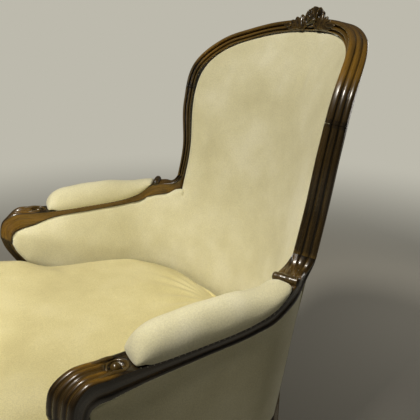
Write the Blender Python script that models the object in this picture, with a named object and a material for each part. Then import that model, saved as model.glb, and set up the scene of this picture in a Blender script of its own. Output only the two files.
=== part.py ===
"""Closed-arm easy chair with a carved and moulded show-wood frame.

Metres, +Z up. The sitter faces -Y and the sitter's left is +X. The chair stands on Z = 0
and is centred on the origin in plan. The back is part of a raked barrel: places on it are
given as a distance across it from the centre line, a rise up its slope from arm level, and
a distance out of its face towards the sitter.
"""
import math

import bmesh
import bpy
import numpy as np

GAP = 0.0003
SMOOTH_ANGLE = math.radians(38.0)
BACK_GRID = (15, 13)
ARM_GRID = (7, 13)

ARM_LEVEL = 0.622
BACK_RADIUS = 0.3276
BACK_SETBACK = 0.300
BACK_RAKE = math.radians(12.5)
SIGHT_HALF = 0.279
SIGHT_RISE = 0.385
STILE_FACE = 0.016
CREST_FACE = 0.0235
FRAME_DEPTH = 0.035
CREST_DEPTH = 0.027
FACE_RELIEF = 0.0032
SIDE_RELIEF = 0.0015
CREST_JOINT_RISE = 0.255
ARM_JOINT_RISE = 0.039
POST_OUTSET = 0.0065
POST_FRONT = 0.0142
POST_REAR = 0.024
SHOULDER_STEP = 0.0002
BLOCK_LIFT = 0.012

RAIL_TOP = 0.360
RAIL_HEIGHT = 0.078
RAIL_THICKNESS = 0.030
RAIL_BEAD = 0.002
FRONT_BOW = 0.028
APRON_DROP = 0.012
FRONT_LEG_ACROSS = 0.303
FRONT_LEG_FORWARD = 0.300
FRONT_BLOCK = 0.048
KNEE_THROW = 0.018
REAR_BLOCK = 0.036
REAR_BLOCK_OUTSET = 0.0095
REAR_FOOT_OUT = 0.018
REAR_FOOT_BACK = 0.078

ARM_SPREAD = 0.084
ARM_REACH = 0.4025
ARM_DROP = 0.112
ARM_HALF = 0.0225
ARM_DEPTH = 0.025
REED_DEPTH = 0.0026
SUPPORT_TUCK = 0.026
SUPPORT_SWEEP = 0.0525
SUPPORT_HALF = 0.0155
SUPPORT_DEPTH = 0.046
CURL_RADIUS = 0.0135
CURL_BEAD = 0.0045
EYE_RADIUS = 0.0060
ROLL_RADIUS = 0.0078
ROLL_OVERHANG = 0.0015

PAD_HALF = 0.0295
PAD_CROWN = 0.050
COVER_THICKNESS = 0.0030
STUFFING_DEPTH = 0.0115
BACK_BULGE = 0.018
ARM_BULGE = 0.008
COVER_INSET = 0.0030
COVER_MARGIN = 0.0014

DECK_THICKNESS = 0.020
CUSHION_THICKNESS = 0.165
CUSHION_FALL_SHARE = 0.37
CUSHION_CLEARANCE = 0.004
CUSHION_FRONT = 0.332
CUSHION_EAR_HALF = 0.302
CUSHION_WAIST_HALF = 0.268
CUSHION_EAR_START = 0.176

SPRING_ROWS = 3
SPRING_PITCH = 0.140
SPRING_RADIUS = 0.032
SPRING_WIRE = 0.0022
SPRING_TURNS = 3
SPRING_STEPS = 7
SPRING_FORWARD_SHARE = 0.45
WEB_WIDTH = 0.052
WEB_THICKNESS = 0.0015
WEB_PITCH = 0.105
WEB_BANDS = 4
WEB_TURN_IN = 0.016
TACK_RAIL = 0.018
BLOCK_LEG = 0.045
BLOCK_HEIGHT = 0.040

FLOWER_RADIUS = 0.0135
PETAL_LENGTH = 0.018
PETAL_COUNT = 5
LEAF_LENGTH = 0.040
LEAF_WIDTH = 0.014

SIGHT_SHARES = ((0.925, -0.72), (0.935, -0.36), (0.950, 0.0), (0.943, 0.286), (1.0, 0.571), (0.971, 0.774),
                (0.781, 0.899), (0.577, 0.950), (0.398, 0.980), (0.211, 0.995), (0.0, 1.0))
FACE_SHARES = ((0.0, 0.0), (0.05, 0.75), (0.16, 1.0), (0.28, 0.7), (0.36, 0.1), (0.48, 0.25), (0.60, 0.85),
               (0.74, 0.8), (0.86, 0.1), (0.95, -0.6), (1.0, -1.3))
SIDE_SHARES = ((0.3, 0.17), (-0.7, 0.27), (0.2, 0.36), (0.9, 0.55), (0.6, 0.80), (-0.8, 1.0))
FACE_STILE_SHARES = ((0.0, 0.0), (0.16, 1.0), (0.34, 0.1), (0.48, 0.25), (0.64, 0.9), (0.86, 0.1), (1.0, -1.3))

# across, forward, drop, half width, depth, inner depth, stile likeness, reeding, lean and turn in degrees
ARM_SHARES = (
    (0.000, 0.000, 0.000, 0.75, 0.90, 1.00, 1.00, 1.0, 90.0, 0.0),
    (0.100, 0.018, 0.110, 0.80, 1.00, 1.00, 0.70, 0.8, 64.0, 20.0),
    (0.270, 0.055, 0.165, 0.88, 1.22, 1.00, 0.20, 0.6, 16.0, 36.0),
    (0.450, 0.105, 0.200, 0.93, 1.25, 1.00, 0.00, 0.3, 2.0, 32.0),
    (0.565, 0.160, 0.290, 0.98, 1.08, 0.92, 0.00, 0.0, 0.0, 18.0),
    (0.620, 0.211, 0.398, 1.00, 0.90, 0.78, 0.00, 0.0, 0.0, 9.0),
    (0.653, 0.291, 0.474, 1.00, 0.83, 0.64, 0.00, 0.0, 0.0, 6.0),
    (0.737, 0.514, 0.534, 1.00, 0.83, 0.60, 0.00, 0.0, 0.0, 5.0),
    (0.816, 0.750, 0.556, 1.00, 1.00, 0.70, 0.00, 0.2, 0.0, 4.0),
    (0.879, 0.845, 0.530, 1.03, 1.46, 0.95, 0.00, 1.0, 6.0, 9.0),
    (0.926, 0.926, 0.535, 1.08, 2.08, 1.00, 0.00, 1.0, 24.0, 18.0),
    (0.979, 0.980, 0.680, 1.15, 2.22, 1.00, 0.00, 1.0, 44.0, 26.0),
    (0.995, 0.995, 0.850, 1.17, 2.10, 1.00, 0.00, 1.0, 54.0, 27.0),
    (1.000, 1.000, 1.000, 1.17, 1.90, 1.00, 0.00, 1.0, 63.0, 27.0),
)
# tuck, sweep, drop, half width, depth, reeding, lean and turn in degrees
SUPPORT_SHARES = (
    (0.00, 0.000, 0.000, 1.698, 1.033, 1.0, 63.0, 27.0),
    (0.02, 0.095, 0.122, 1.620, 1.022, 1.0, 66.0, 26.0),
    (0.13, 0.286, 0.255, 1.470, 0.935, 1.0, 71.0, 22.0),
    (0.33, 0.520, 0.388, 1.323, 0.870, 1.0, 73.0, 15.0),
    (0.52, 0.750, 0.520, 1.194, 0.848, 0.9, 77.0, 10.0),
    (0.71, 0.920, 0.654, 1.097, 0.870, 0.8, 82.0, 5.0),
    (0.86, 0.990, 0.810, 1.032, 0.935, 0.6, 87.0, 1.0),
    (1.00, 1.000, 1.000, 1.000, 1.000, 0.5, 90.0, 0.0),
)
# share of the pad's length, height and width of its stuffing, from its rear end forward
PAD_SHARES = ((0.0, 0.16, 0.55), (0.03, 0.28, 0.72), (0.08, 0.40, 0.84), (0.15, 0.56, 0.91), (0.25, 0.76, 0.96),
              (0.36, 0.92, 0.99), (0.50, 1.0, 1.0), (0.66, 1.0, 1.0), (0.80, 0.97, 0.99), (0.89, 0.88, 0.96),
              (0.95, 0.72, 0.90), (0.985, 0.50, 0.80), (1.0, 0.28, 0.66))
PAD_START_SHARE = 0.121
PAD_END_SHARE = 0.757
ROLL_SHARE = 0.097
CURL_SHARE = 0.806
SIDE_RAIL_SHARES = ((0.55, 0.085), (0.86, 0.27), (1.0, 0.48), (1.04, 0.66), (1.0, 0.86))
SIDE_RAIL_ACROSS = 0.303

# height, throw along the diagonal, size and squareness of the front leg below its block
CABRIOLE_SHARES = ((1.0, 0.0, 1.0, 7.0), (0.94, 0.25, 1.07, 5.0), (0.86, 0.55, 1.12, 4.0), (0.76, 0.55, 1.0, 3.2),
                   (0.60, 0.1, 0.78, 3.0), (0.42, -0.4, 0.60, 2.8), (0.26, -0.5, 0.53, 2.6),
                   (0.13, -0.1, 0.54, 2.6), (0.05, 0.5, 0.72, 2.6), (0.0, 0.6, 0.70, 2.6))
# height, splay and size of the rear leg below its block
REAR_LEG_SHARES = ((1.0, 0.0, 1.0), (0.80, 0.02, 0.96), (0.55, 0.18, 0.86), (0.28, 0.52, 0.78), (0.0, 1.0, 0.74))
# size and height of the cushion's plan rings, from its underside to its crown
CUSHION_SHARES = ((0.60, 0.0), (0.93, 0.012), (0.985, 0.06), (1.0, 0.12), (0.985, 0.34), (0.998, 0.60), (0.99, 0.72),
                  (0.965, 0.83), (0.92, 0.91), (0.83, 0.96), (0.60, 0.99), (0.28, 1.0))
SPRING_WAIST_SHARE = 0.35
PANEL_TOP_SHARES = (0.16, 0.22, 0.30, 0.42, 0.54, 0.66, 0.76)
PANEL_HAND_SHARES = (0.99, 0.955, 0.92, 0.885)


def clear_scene():
    for thing in list(bpy.data.objects):
        bpy.data.objects.remove(thing)


def finish(name, color, roughness, metallic=0.0):
    material = bpy.data.materials.new(name)
    material.use_nodes = True
    shader = material.node_tree.nodes["Principled BSDF"]
    shader.inputs["Base Color"].default_value = (*color, 1.0)
    shader.inputs["Roughness"].default_value = roughness
    shader.inputs["Metallic"].default_value = metallic
    return material


def unit(vector):
    return np.array(vector, dtype=float) / np.linalg.norm(vector)


def smooth_rows(rows, count):
    """Rows read evenly off a smooth curve through the given rows; the first columns are its places."""
    rows = np.array(rows, dtype=float)
    steps = np.linalg.norm(np.diff(rows[:, :3], axis=0), axis=1)
    along = np.concatenate(([0.0], np.cumsum(steps)))
    slopes = np.gradient(rows, along, axis=0)
    where = np.linspace(0.0, along[-1], count)
    left = np.clip(np.searchsorted(along, where, side="right") - 1, 0, len(steps) - 1)
    span = steps[left][:, None]
    share = (where - along[left])[:, None] / span
    start = 2.0 * share ** 3 - 3.0 * share ** 2 + 1.0
    leave = (share ** 3 - 2.0 * share ** 2 + share) * span
    arrive = (share ** 3 - share ** 2) * span
    return start * rows[left] + (1.0 - start) * rows[left + 1] + leave * slopes[left] + arrive * slopes[left + 1]


def add_object(name, form, material):
    """Turns a bmesh into a named object whose origin is at the middle of its box."""
    bmesh.ops.recalc_face_normals(form, faces=form.faces)
    places = np.array([corner.co for corner in form.verts])
    middle = (places.min(axis=0) + places.max(axis=0)) / 2.0
    bmesh.ops.translate(form, vec=-middle, verts=form.verts)
    mesh = bpy.data.meshes.new(name)
    form.to_mesh(mesh)
    form.free()
    mesh.shade_smooth()
    mesh.set_sharp_from_angle(angle=SMOOTH_ANGLE)
    mesh.materials.append(material)
    thing = bpy.data.objects.new(name, mesh)
    thing.location = middle
    bpy.context.scene.collection.objects.link(thing)
    return thing


def join_rings(form, rings):
    """Adds one closed body to the bmesh: rings of equal point counts, capped at both ends."""
    loops = [[form.verts.new(place) for place in ring] for ring in rings]
    for lower, upper in zip(loops, loops[1:]):
        for index in range(len(lower)):
            following = (index + 1) % len(lower)
            form.faces.new((lower[index], lower[following], upper[following], upper[index]))
    for loop, ring in ((loops[0], rings[0]), (loops[-1], rings[-1])):
        middle = form.verts.new(np.mean(np.array(ring), axis=0))
        for index in range(len(loop)):
            form.faces.new((loop[index], loop[(index + 1) % len(loop)], middle))


def ring_solid(name, rings, material):
    form = bmesh.new()
    join_rings(form, rings)
    return add_object(name, form, material)


def slab_solid(name, front, rear, material):
    """A closed solid between two grids of places, given as rows of columns."""
    form = bmesh.new()
    sheets = [[[form.verts.new(place) for place in row] for row in grid] for grid in (front, rear)]
    rows, columns = len(front), len(front[0])
    for sheet in sheets:
        for row in range(rows - 1):
            for column in range(columns - 1):
                form.faces.new((sheet[row][column], sheet[row][column + 1],
                                sheet[row + 1][column + 1], sheet[row + 1][column]))
    rim = [(0, column) for column in range(columns)]
    rim += [(row, columns - 1) for row in range(1, rows)]
    rim += [(rows - 1, column) for column in range(columns - 2, -1, -1)]
    rim += [(row, 0) for row in range(rows - 2, 0, -1)]
    for here, there in zip(rim, rim[1:] + rim[:1]):
        form.faces.new((sheets[0][here[0]][here[1]], sheets[0][there[0]][there[1]],
                        sheets[1][there[0]][there[1]], sheets[1][here[0]][here[1]]))
    return add_object(name, form, material)


def mirror_copy(thing, name):
    """The same piece for the sitter's other side."""
    form = bmesh.new()
    form.from_mesh(thing.data)
    for corner in form.verts:
        corner.co.x = -corner.co.x
    bmesh.ops.reverse_faces(form, faces=form.faces)
    mesh = bpy.data.meshes.new(name)
    form.to_mesh(mesh)
    form.free()
    mesh.materials.append(thing.data.materials[0])
    mesh.set_sharp_from_angle(angle=SMOOTH_ANGLE)
    copy = bpy.data.objects.new(name, mesh)
    copy.location = (-thing.location.x, thing.location.y, thing.location.z)
    bpy.context.scene.collection.objects.link(copy)
    return copy


def combine(target, tool, operation):
    """Applies one exact Boolean of the tool to the target and removes the tool."""
    step = target.modifiers.new("combine", "BOOLEAN")
    step.object = tool
    step.operation = operation
    step.solver = "EXACT"
    bpy.context.view_layer.update()
    graph = bpy.context.evaluated_depsgraph_get()
    mesh = bpy.data.meshes.new_from_object(target.evaluated_get(graph))
    target.modifiers.remove(step)
    target.data = mesh
    bpy.data.objects.remove(tool)


def patch(bottom, top, start, end):
    """A grid filled smoothly between four edge curves: bottom and top run from start to end."""
    bottom, top, start, end = (np.array(curve, dtype=float) for curve in (bottom, top, start, end))
    up = np.linspace(0.0, 1.0, len(start))[:, None, None]
    on = np.linspace(0.0, 1.0, len(bottom))[None, :, None]
    ruled = (1.0 - up) * bottom[None] + up * top[None] + (1.0 - on) * start[:, None] + on * end[:, None]
    corners = (1.0 - up) * ((1.0 - on) * bottom[0] + on * bottom[-1]) + up * ((1.0 - on) * top[0] + on * top[-1])
    return ruled - corners


def grid_normals(grid):
    along = np.gradient(grid, axis=1)
    upward = np.gradient(grid, axis=0)
    normal = np.cross(along, upward)
    return normal / np.linalg.norm(normal, axis=2, keepdims=True)


def swell(rows, columns):
    """A padding share for each place of a grid: nothing on its rim, all of it across the middle."""
    up = 1.0 - np.abs(np.linspace(-1.0, 1.0, rows)) ** 3
    on = 1.0 - np.abs(np.linspace(-1.0, 1.0, columns)) ** 4
    return (up[:, None] * on[None, :])[:, :, None]


def back_place(across, rise):
    turn = across / BACK_RADIUS
    return np.array((BACK_RADIUS * math.sin(turn),
                     BACK_SETBACK + rise * math.sin(BACK_RAKE) - BACK_RADIUS * (1.0 - math.cos(turn)),
                     ARM_LEVEL + rise * math.cos(BACK_RAKE)))


def back_normal(across):
    """The barrel's normal towards the sitter."""
    turn = across / BACK_RADIUS
    return np.array((-math.sin(turn) * math.cos(BACK_RAKE), -math.cos(turn) * math.cos(BACK_RAKE),
                     math.cos(turn) * math.sin(BACK_RAKE)))


def rise_at(height):
    return (height - ARM_LEVEL) / math.cos(BACK_RAKE)


def sight_line(count):
    """The edge between cover and frame, from the right seat corner over the crest to the left one."""
    right = [(across * SIGHT_HALF, rise * SIGHT_RISE) for across, rise in SIGHT_SHARES]
    left = [(-across, rise) for across, rise in reversed(right[:-1])]
    return smooth_rows(right + left, count)


SIGHT_ROWS = sight_line(401)


def sight_across(rise):
    """Half width of the cover at a rise below the shoulders."""
    half = SIGHT_ROWS[:len(SIGHT_ROWS) // 2 + 1]
    return float(np.interp(rise, half[:, 1], half[:, 0]))


def sight_between(start, end, count):
    """Places of the sight edge between two row numbers of the full line."""
    where = np.linspace(start, end, count)
    rows = np.arange(len(SIGHT_ROWS))
    return np.stack([np.interp(where, rows, SIGHT_ROWS[:, column]) for column in (0, 1)], axis=1)


def frame_section(rise):
    """The moulding: front face from the sight edge outwards, then the outer side back to the rear."""
    share = min(1.0, max(0.0, (rise - ARM_JOINT_RISE) / (SIGHT_RISE - ARM_JOINT_RISE)))
    face = STILE_FACE + (CREST_FACE - STILE_FACE) * share
    depth = FRAME_DEPTH + (CREST_DEPTH - FRAME_DEPTH) * share
    front = [(place * face, relief * FACE_RELIEF) for place, relief in FACE_SHARES]
    side = [(face + relief * SIDE_RELIEF, -place * depth) for relief, place in SIDE_SHARES]
    return front + side + [(0.0, -depth)]


def core_section(inner, outer, front, rear):
    """A plain four-sided post with as many points as the moulding."""
    face = [(inner + (outer - inner) * share, front) for share in np.linspace(0.0, 1.0, len(FACE_SHARES))]
    count = len(SIDE_SHARES)
    side = [(outer, front + (rear - front) * (index + 1) / count) for index in range(count)]
    return face + side + [(inner, rear)]


def core_limits(rise):
    """Inner, outer, front and rear faces of the hidden post, growing towards its seat block."""
    share = min(1.0, max(0.0, (ARM_JOINT_RISE - rise) / (ARM_JOINT_RISE - rise_at(RAIL_TOP))))
    inner = -share * (REAR_BLOCK - REAR_BLOCK_OUTSET)
    outer = POST_OUTSET + share * (REAR_BLOCK_OUTSET - POST_OUTSET)
    rear = -POST_REAR - share * (POST_REAR - POST_FRONT)
    return inner, outer, -POST_FRONT, rear


def place_section(origin, outward, normal, section):
    return [origin + u * outward + v * normal for u, v in section]


def stile_frame(rise):
    """Origin on the sight edge, outward direction and face normal of the right stile at a rise."""
    across = sight_across(rise)
    above = back_place(sight_across(rise + FACE_RELIEF), rise + FACE_RELIEF)
    below = back_place(sight_across(rise - FACE_RELIEF), rise - FACE_RELIEF)
    normal = back_normal(across)
    return back_place(across, rise), unit(np.cross(above - below, normal)), normal


def seat_frame():
    """The right rear block's frame: as the stile's at the rail top, but upright."""
    across = sight_across(rise_at(RAIL_TOP))
    turn = across / BACK_RADIUS
    outward = np.array((math.cos(turn), -math.sin(turn), 0.0))
    return back_place(across, rise_at(RAIL_TOP)), outward, np.array((-math.sin(turn), -math.cos(turn), 0.0))


def mirrored(places):
    return np.array(places) * np.array((-1.0, 1.0, 1.0))


def crest_rail(wood):
    rows = SIGHT_ROWS
    middle = len(rows) // 2
    joint = float(np.interp(CREST_JOINT_RISE + GAP, rows[:middle + 1, 1], np.arange(middle + 1)))
    line = sight_between(joint, len(rows) - 1 - joint, 37)
    places = np.array([back_place(across, rise) for across, rise in line])
    tangents = np.gradient(places, axis=0)
    rings = []
    for (across, rise), place, tangent in zip(line, places, tangents):
        normal = back_normal(across)
        rings.append(place_section(place, unit(np.cross(tangent, normal)), normal, frame_section(rise)))
    origin, outward, normal = stile_frame(CREST_JOINT_RISE + GAP)
    rings[0] = place_section(origin, outward, normal, frame_section(CREST_JOINT_RISE))
    rings[-1] = mirrored(rings[0])
    crest = ring_solid("crest_rail", rings, wood)
    for piece in crest_carving(wood):
        combine(crest, piece, "UNION")
    return crest


def carved_lobe(name, middle, long_axis, out_axis, length, width, height, wood):
    """A plump leaf or petal: rings along its length, flat enough to sit on the rail."""
    across_axis = np.cross(out_axis, long_axis)
    rings = []
    for station in np.linspace(-0.96, 0.96, 6):
        size = math.sqrt(1.0 - station ** 2)
        middle_here = middle + station * length / 2.0 * long_axis
        rings.append([middle_here + size * (width / 2.0 * math.cos(turn) * across_axis
                                            + height / 2.0 * math.sin(turn) * out_axis)
                      for turn in np.linspace(0.1, 0.1 + 2.0 * math.pi, 8)[:-1]])
    return ring_solid(name, rings, wood)


def crest_carving(wood):
    """A flower head on the top edge of the crest, with leaves lying along the moulding."""
    centre = back_place(0.0, SIGHT_RISE)
    normal = back_normal(0.0)
    upward = unit(np.cross((-1.0, 0.0, 0.0), normal))
    sideways = np.array((1.0, 0.0, 0.0))
    head = centre + (CREST_FACE + FLOWER_RADIUS * 0.7) * upward - FRAME_DEPTH * 0.25 * normal
    pieces = [carved_lobe("flower_head", head, upward, normal, 2.4 * FLOWER_RADIUS, 2.6 * FLOWER_RADIUS,
                          3.0 * FLOWER_RADIUS, wood)]
    for index in range(PETAL_COUNT):
        turn = math.radians(-90.0) + 2.0 * math.pi * index / PETAL_COUNT
        spoke = math.cos(turn) * sideways + math.sin(turn) * upward
        middle = head + FLOWER_RADIUS * (0.85 * spoke + 1.0 * normal)
        pieces.append(carved_lobe("petal", middle, spoke, normal, PETAL_LENGTH, PETAL_LENGTH,
                                  FLOWER_RADIUS, wood))
    for side in (-1.0, 1.0):
        for droop, reach in ((0.12, 0.95), (-0.20, 0.64)):
            spoke = unit(side * sideways + droop * upward)
            middle = centre + 0.55 * CREST_FACE * upward + reach * LEAF_LENGTH * spoke
            middle = middle + FACE_RELIEF * normal
            pieces.append(carved_lobe("leaf", middle, spoke, normal, LEAF_LENGTH, LEAF_WIDTH,
                                      0.6 * LEAF_WIDTH, wood))
    return pieces


def rear_post(name, wood):
    """Stile, hidden post and splayed rear leg in one piece."""
    rings = []
    for rise in np.linspace(CREST_JOINT_RISE - GAP, ARM_JOINT_RISE, 11):
        origin, outward, normal = stile_frame(rise)
        rings.append(place_section(origin, outward, normal, frame_section(rise)))
    seat_rise = rise_at(RAIL_TOP)
    for rise in np.linspace(ARM_JOINT_RISE - SHOULDER_STEP, seat_rise + BLOCK_LIFT, 6):
        origin, outward, normal = stile_frame(rise)
        rings.append(place_section(origin, outward, normal, core_section(*core_limits(rise))))
    origin, outward, normal = seat_frame()
    for front, height in ((-POST_FRONT, RAIL_TOP + GAP), (0.0, RAIL_TOP), (0.0, RAIL_TOP - RAIL_HEIGHT)):
        drop = np.array((0.0, 0.0, height - RAIL_TOP))
        block = core_section(REAR_BLOCK_OUTSET - REAR_BLOCK, REAR_BLOCK_OUTSET, front, -REAR_BLOCK)
        rings.append(place_section(origin + drop, outward, normal, block))
    middle = origin + (REAR_BLOCK_OUTSET - REAR_BLOCK / 2.0) * outward - REAR_BLOCK / 2.0 * normal
    rail_bottom = RAIL_TOP - RAIL_HEIGHT
    keys = [(height * (rail_bottom - GAP), splay * REAR_FOOT_OUT, splay * REAR_FOOT_BACK, size * REAR_BLOCK / 2.0)
            for height, splay, size in REAR_LEG_SHARES]
    for height, out, back, half in smooth_rows(keys, 8):
        centre = np.array((middle[0] + out, middle[1] + back, height))
        rings.append(place_section(centre, outward, normal, core_section(-half, half, half, -half)))
    return ring_solid(name, rings, wood)


def arm_axes(lean, turn):
    """Outward direction across the arm, and the direction square to its show face."""
    across = np.array((math.cos(math.radians(turn)), math.sin(math.radians(turn)), 0.0))
    forward = np.array((math.sin(math.radians(turn)), -math.cos(math.radians(turn)), 0.0))
    show = math.cos(math.radians(lean)) * np.array((0.0, 0.0, 1.0)) + math.sin(math.radians(lean)) * forward
    return across, show


def reeded_section(half, depth, inner_depth, reed):
    """A bar with four reeds along its show face, measured from the middle of that face."""
    count = 12
    face = [(half * (2.0 * index / count - 1.0), -reed if index % 3 == 0 else 0.0) for index in range(count + 1)]
    inner = [(-half, -inner_depth), (-half, -0.45 * inner_depth)]
    outer = [(half, -0.5 * depth), (half, -depth), (0.0, -(depth + inner_depth) / 2.0)]
    section = np.array(inner + face + outer)
    return np.column_stack([section, np.zeros(len(section))])


def stile_part_section():
    """The front part of the stile's moulding as the arm takes it over, in the arm's own section axes."""
    origin, outward, normal = stile_frame(ARM_JOINT_RISE)
    corner = origin + STILE_FACE * outward
    across, show = arm_axes(90.0, 0.0)
    front = [(share * STILE_FACE, relief * FACE_RELIEF) for share, relief in FACE_STILE_SHARES]
    side = [(STILE_FACE + relief * SIDE_RELIEF, -share * FRAME_DEPTH) for relief, share in SIDE_SHARES]
    tail = [(STILE_FACE - SIDE_RELIEF, -0.96 * FRAME_DEPTH), (0.9 * STILE_FACE - SIDE_RELIEF, -FRAME_DEPTH),
            (0.5 * STILE_FACE, -FRAME_DEPTH)]
    section = [(0.0, -FRAME_DEPTH), (0.0, -0.3 * FRAME_DEPTH)] + front + side[:-1] + side[-1:] + tail
    places = np.array(place_section(origin, outward, normal, section)) - corner
    return np.stack([places @ across, places @ show, places[:, 2]], axis=1)


def arm_start():
    origin, outward, _ = stile_frame(ARM_JOINT_RISE - SHOULDER_STEP - GAP)
    return origin + STILE_FACE * outward


def arm_rows(count):
    """Smooth stations of the right arm: place, half width, depths, likeness, reeding, lean and turn."""
    start = arm_start()
    rows = []
    for across, forward, drop, half, depth, inner, likeness, reed, lean, turn in ARM_SHARES:
        place = start + np.array((across * ARM_SPREAD, -forward * ARM_REACH, -drop * ARM_DROP))
        rows.append((*place, half * ARM_HALF, depth * ARM_DEPTH, inner * depth * ARM_DEPTH, likeness,
                     reed * REED_DEPTH, lean, turn))
    return smooth_rows(rows, count)


def arm_ring(row):
    across, show = arm_axes(row[8], row[9])
    likeness = min(1.0, max(0.0, row[6]))
    section = likeness * stile_part_section() + (1.0 - likeness) * reeded_section(row[3], row[4], row[5],
                                                                                 max(0.0, row[7]))
    upright = np.array((0.0, 0.0, 1.0))
    return np.array([row[:3] + a * across + b * show + c * upright for a, b, c in section])


def arm_station(share):
    """The arm's station at a share of its forward reach."""
    rows = arm_rows(241)
    reach = (rows[0, 1] - rows[:, 1]) / ARM_REACH
    index = int(np.argmax(reach >= share))
    return rows[index]


def arm_rail(name, wood):
    """The arm: housed over the post, rolled over at the handhold, with carved scrolls."""
    rings = [arm_ring(row) for row in arm_rows(31)]
    arm = ring_solid(name, rings, wood)
    combine(arm, front_curl(wood), "UNION")
    combine(arm, curl_eye(wood), "UNION")
    combine(arm, rear_roll(wood), "UNION")
    combine(arm, post_housing(wood), "DIFFERENCE")
    return arm


def post_housing(wood):
    """The room that the arm leaves for the hidden post, open behind it and inside it."""
    rings = []
    for rise in (ARM_JOINT_RISE + CREST_FACE, ARM_JOINT_RISE, -ARM_JOINT_RISE, -2.0 * ARM_JOINT_RISE):
        origin, outward, normal = stile_frame(rise)
        _, outer, front, _ = core_limits(rise)
        section = core_section(-FRAME_DEPTH, outer + 2.0 * GAP, front + 2.0 * GAP, -2.0 * FRAME_DEPTH)
        rings.append(place_section(origin, outward, normal, section))
    return ring_solid("housing", rings, wood)


def tube_rings(places, radii, sides):
    places = np.array(places)
    tangents = np.gradient(places, axis=0)
    rings = []
    for place, tangent, radius in zip(places, tangents, radii):
        tangent = unit(tangent)
        sideways = unit(np.cross(tangent, (0.0, 0.0, 1.0)))
        upward = np.cross(sideways, tangent)
        rings.append([place + radius * (math.cos(turn) * sideways + math.sin(turn) * upward)
                      for turn in np.linspace(0.0, 2.0 * math.pi, sides + 1)[:-1]])
    return rings


def front_curl(wood):
    """The outer reed winding back round the eye at the rear of the handhold."""
    station = arm_station(CURL_SHARE)
    across, show = arm_axes(0.0, station[9])
    forward = np.cross(show, across)
    places = []
    for turn in np.linspace(math.radians(-70.0), math.radians(265.0), 16):
        share = (turn - math.radians(-70.0)) / math.radians(335.0)
        radius = CURL_RADIUS * (1.0 - 0.35 * share)
        places.append(station[:3] + radius * (math.cos(turn) * across - math.sin(turn) * forward))
    radii = CURL_BEAD * np.linspace(0.9, 0.75, len(places))
    return ring_solid("curl", tube_rings(places, radii, 6), wood)


def curl_eye(wood):
    station = arm_station(CURL_SHARE)
    middle = station[:3] + np.array((0.0, 0.0, 0.35 * EYE_RADIUS))
    return carved_lobe("eye", middle, np.array((1.0, 0.0, 0.0)), np.array((0.0, 0.0, 1.0)),
                       2.0 * EYE_RADIUS, 2.0 * EYE_RADIUS, 2.0 * EYE_RADIUS, wood)


def rear_roll(wood):
    """The rolled scroll that crosses the arm behind the pad."""
    station = arm_station(ROLL_SHARE)
    across, _ = arm_axes(0.0, station[9])
    half = station[3] + ROLL_OVERHANG
    shares = ((-1.0, 0.55), (-0.94, 0.9), (-0.5, 1.0), (0.5, 1.0), (0.94, 0.9), (1.0, 0.55))
    places = [station[:3] + np.array((0.0, 0.0, 0.25 * ROLL_RADIUS)) + share * half * across for share, _ in shares]
    radii = [ROLL_RADIUS * size for _, size in shares]
    return ring_solid("roll", tube_rings(places, radii, 12), wood)


def support_rows(count):
    """Smooth stations of the right arm support, from the arm's end down to the seat rail."""
    top = arm_start() + np.array((ARM_SPREAD, -ARM_REACH, -ARM_DROP - 2.0 * GAP))
    fall = top[2] - RAIL_TOP - GAP
    rows = []
    for tuck, sweep, drop, half, depth, reed, lean, turn in SUPPORT_SHARES:
        place = top + np.array((-tuck * SUPPORT_TUCK, sweep * SUPPORT_SWEEP, -drop * fall))
        rows.append((*place, half * SUPPORT_HALF, depth * SUPPORT_DEPTH, reed * REED_DEPTH, lean, turn))
    return smooth_rows(rows, count)


def arm_support(name, wood):
    rings = []
    for row in support_rows(14):
        across, show = arm_axes(row[6], row[7])
        section = reeded_section(row[3], row[4], row[4], row[5])
        rings.append([row[:3] + a * across + b * show for a, b, _ in section])
    return ring_solid(name, rings, wood)


def arm_pad(name, cover):
    """A long loaf of stuffing with a rounded crown, drawn in where it meets the arm."""
    tuck = math.radians(25.0)
    rings = []
    for share, height, width in PAD_SHARES:
        station = arm_station(PAD_START_SHARE + (PAD_END_SHARE - PAD_START_SHARE) * share)
        across, show = arm_axes(station[8], station[9])
        ring = []
        for turn in np.linspace(-tuck, math.pi + tuck, 13):
            lift = (math.sin(turn) + math.sin(tuck)) / (1.0 + math.sin(tuck))
            ring.append(station[:3] + PAD_HALF * width * math.cos(turn) * across
                        + (2.0 * GAP + PAD_CROWN * height * lift) * show)
        rings.append(ring)
    return ring_solid(name, rings, cover)


def rail_section(low, high):
    """A seat rail: plain inside, with a bead along its lower outer edge."""
    half = RAIL_THICKNESS / 2.0
    rise = high - low
    return [(-half, low), (half, low), (half + RAIL_BEAD, low + 0.05 * rise), (half + RAIL_BEAD, low + 0.14 * rise),
            (half - RAIL_BEAD / 2.0, low + 0.19 * rise), (half - RAIL_BEAD / 2.0, high - 0.12 * rise),
            (half, high - 0.06 * rise), (half - RAIL_BEAD, high), (-half, high)]


def side_rail_line(count):
    """Middle line of the right side rail in plan, from the rear block to the front block."""
    origin, outward, normal = seat_frame()
    start = origin + (REAR_BLOCK_OUTSET + GAP) * outward - REAR_BLOCK / 2.0 * normal
    rear_end = -FRONT_LEG_FORWARD + FRONT_BLOCK / 2.0 + GAP
    keys = [(start[0], start[1])]
    for out, on in SIDE_RAIL_SHARES:
        keys.append((start[0] + out * (SIDE_RAIL_ACROSS - start[0]), start[1] + on * (rear_end - start[1])))
    keys.append((SIDE_RAIL_ACROSS, rear_end))
    return smooth_rows(keys, count)


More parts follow.
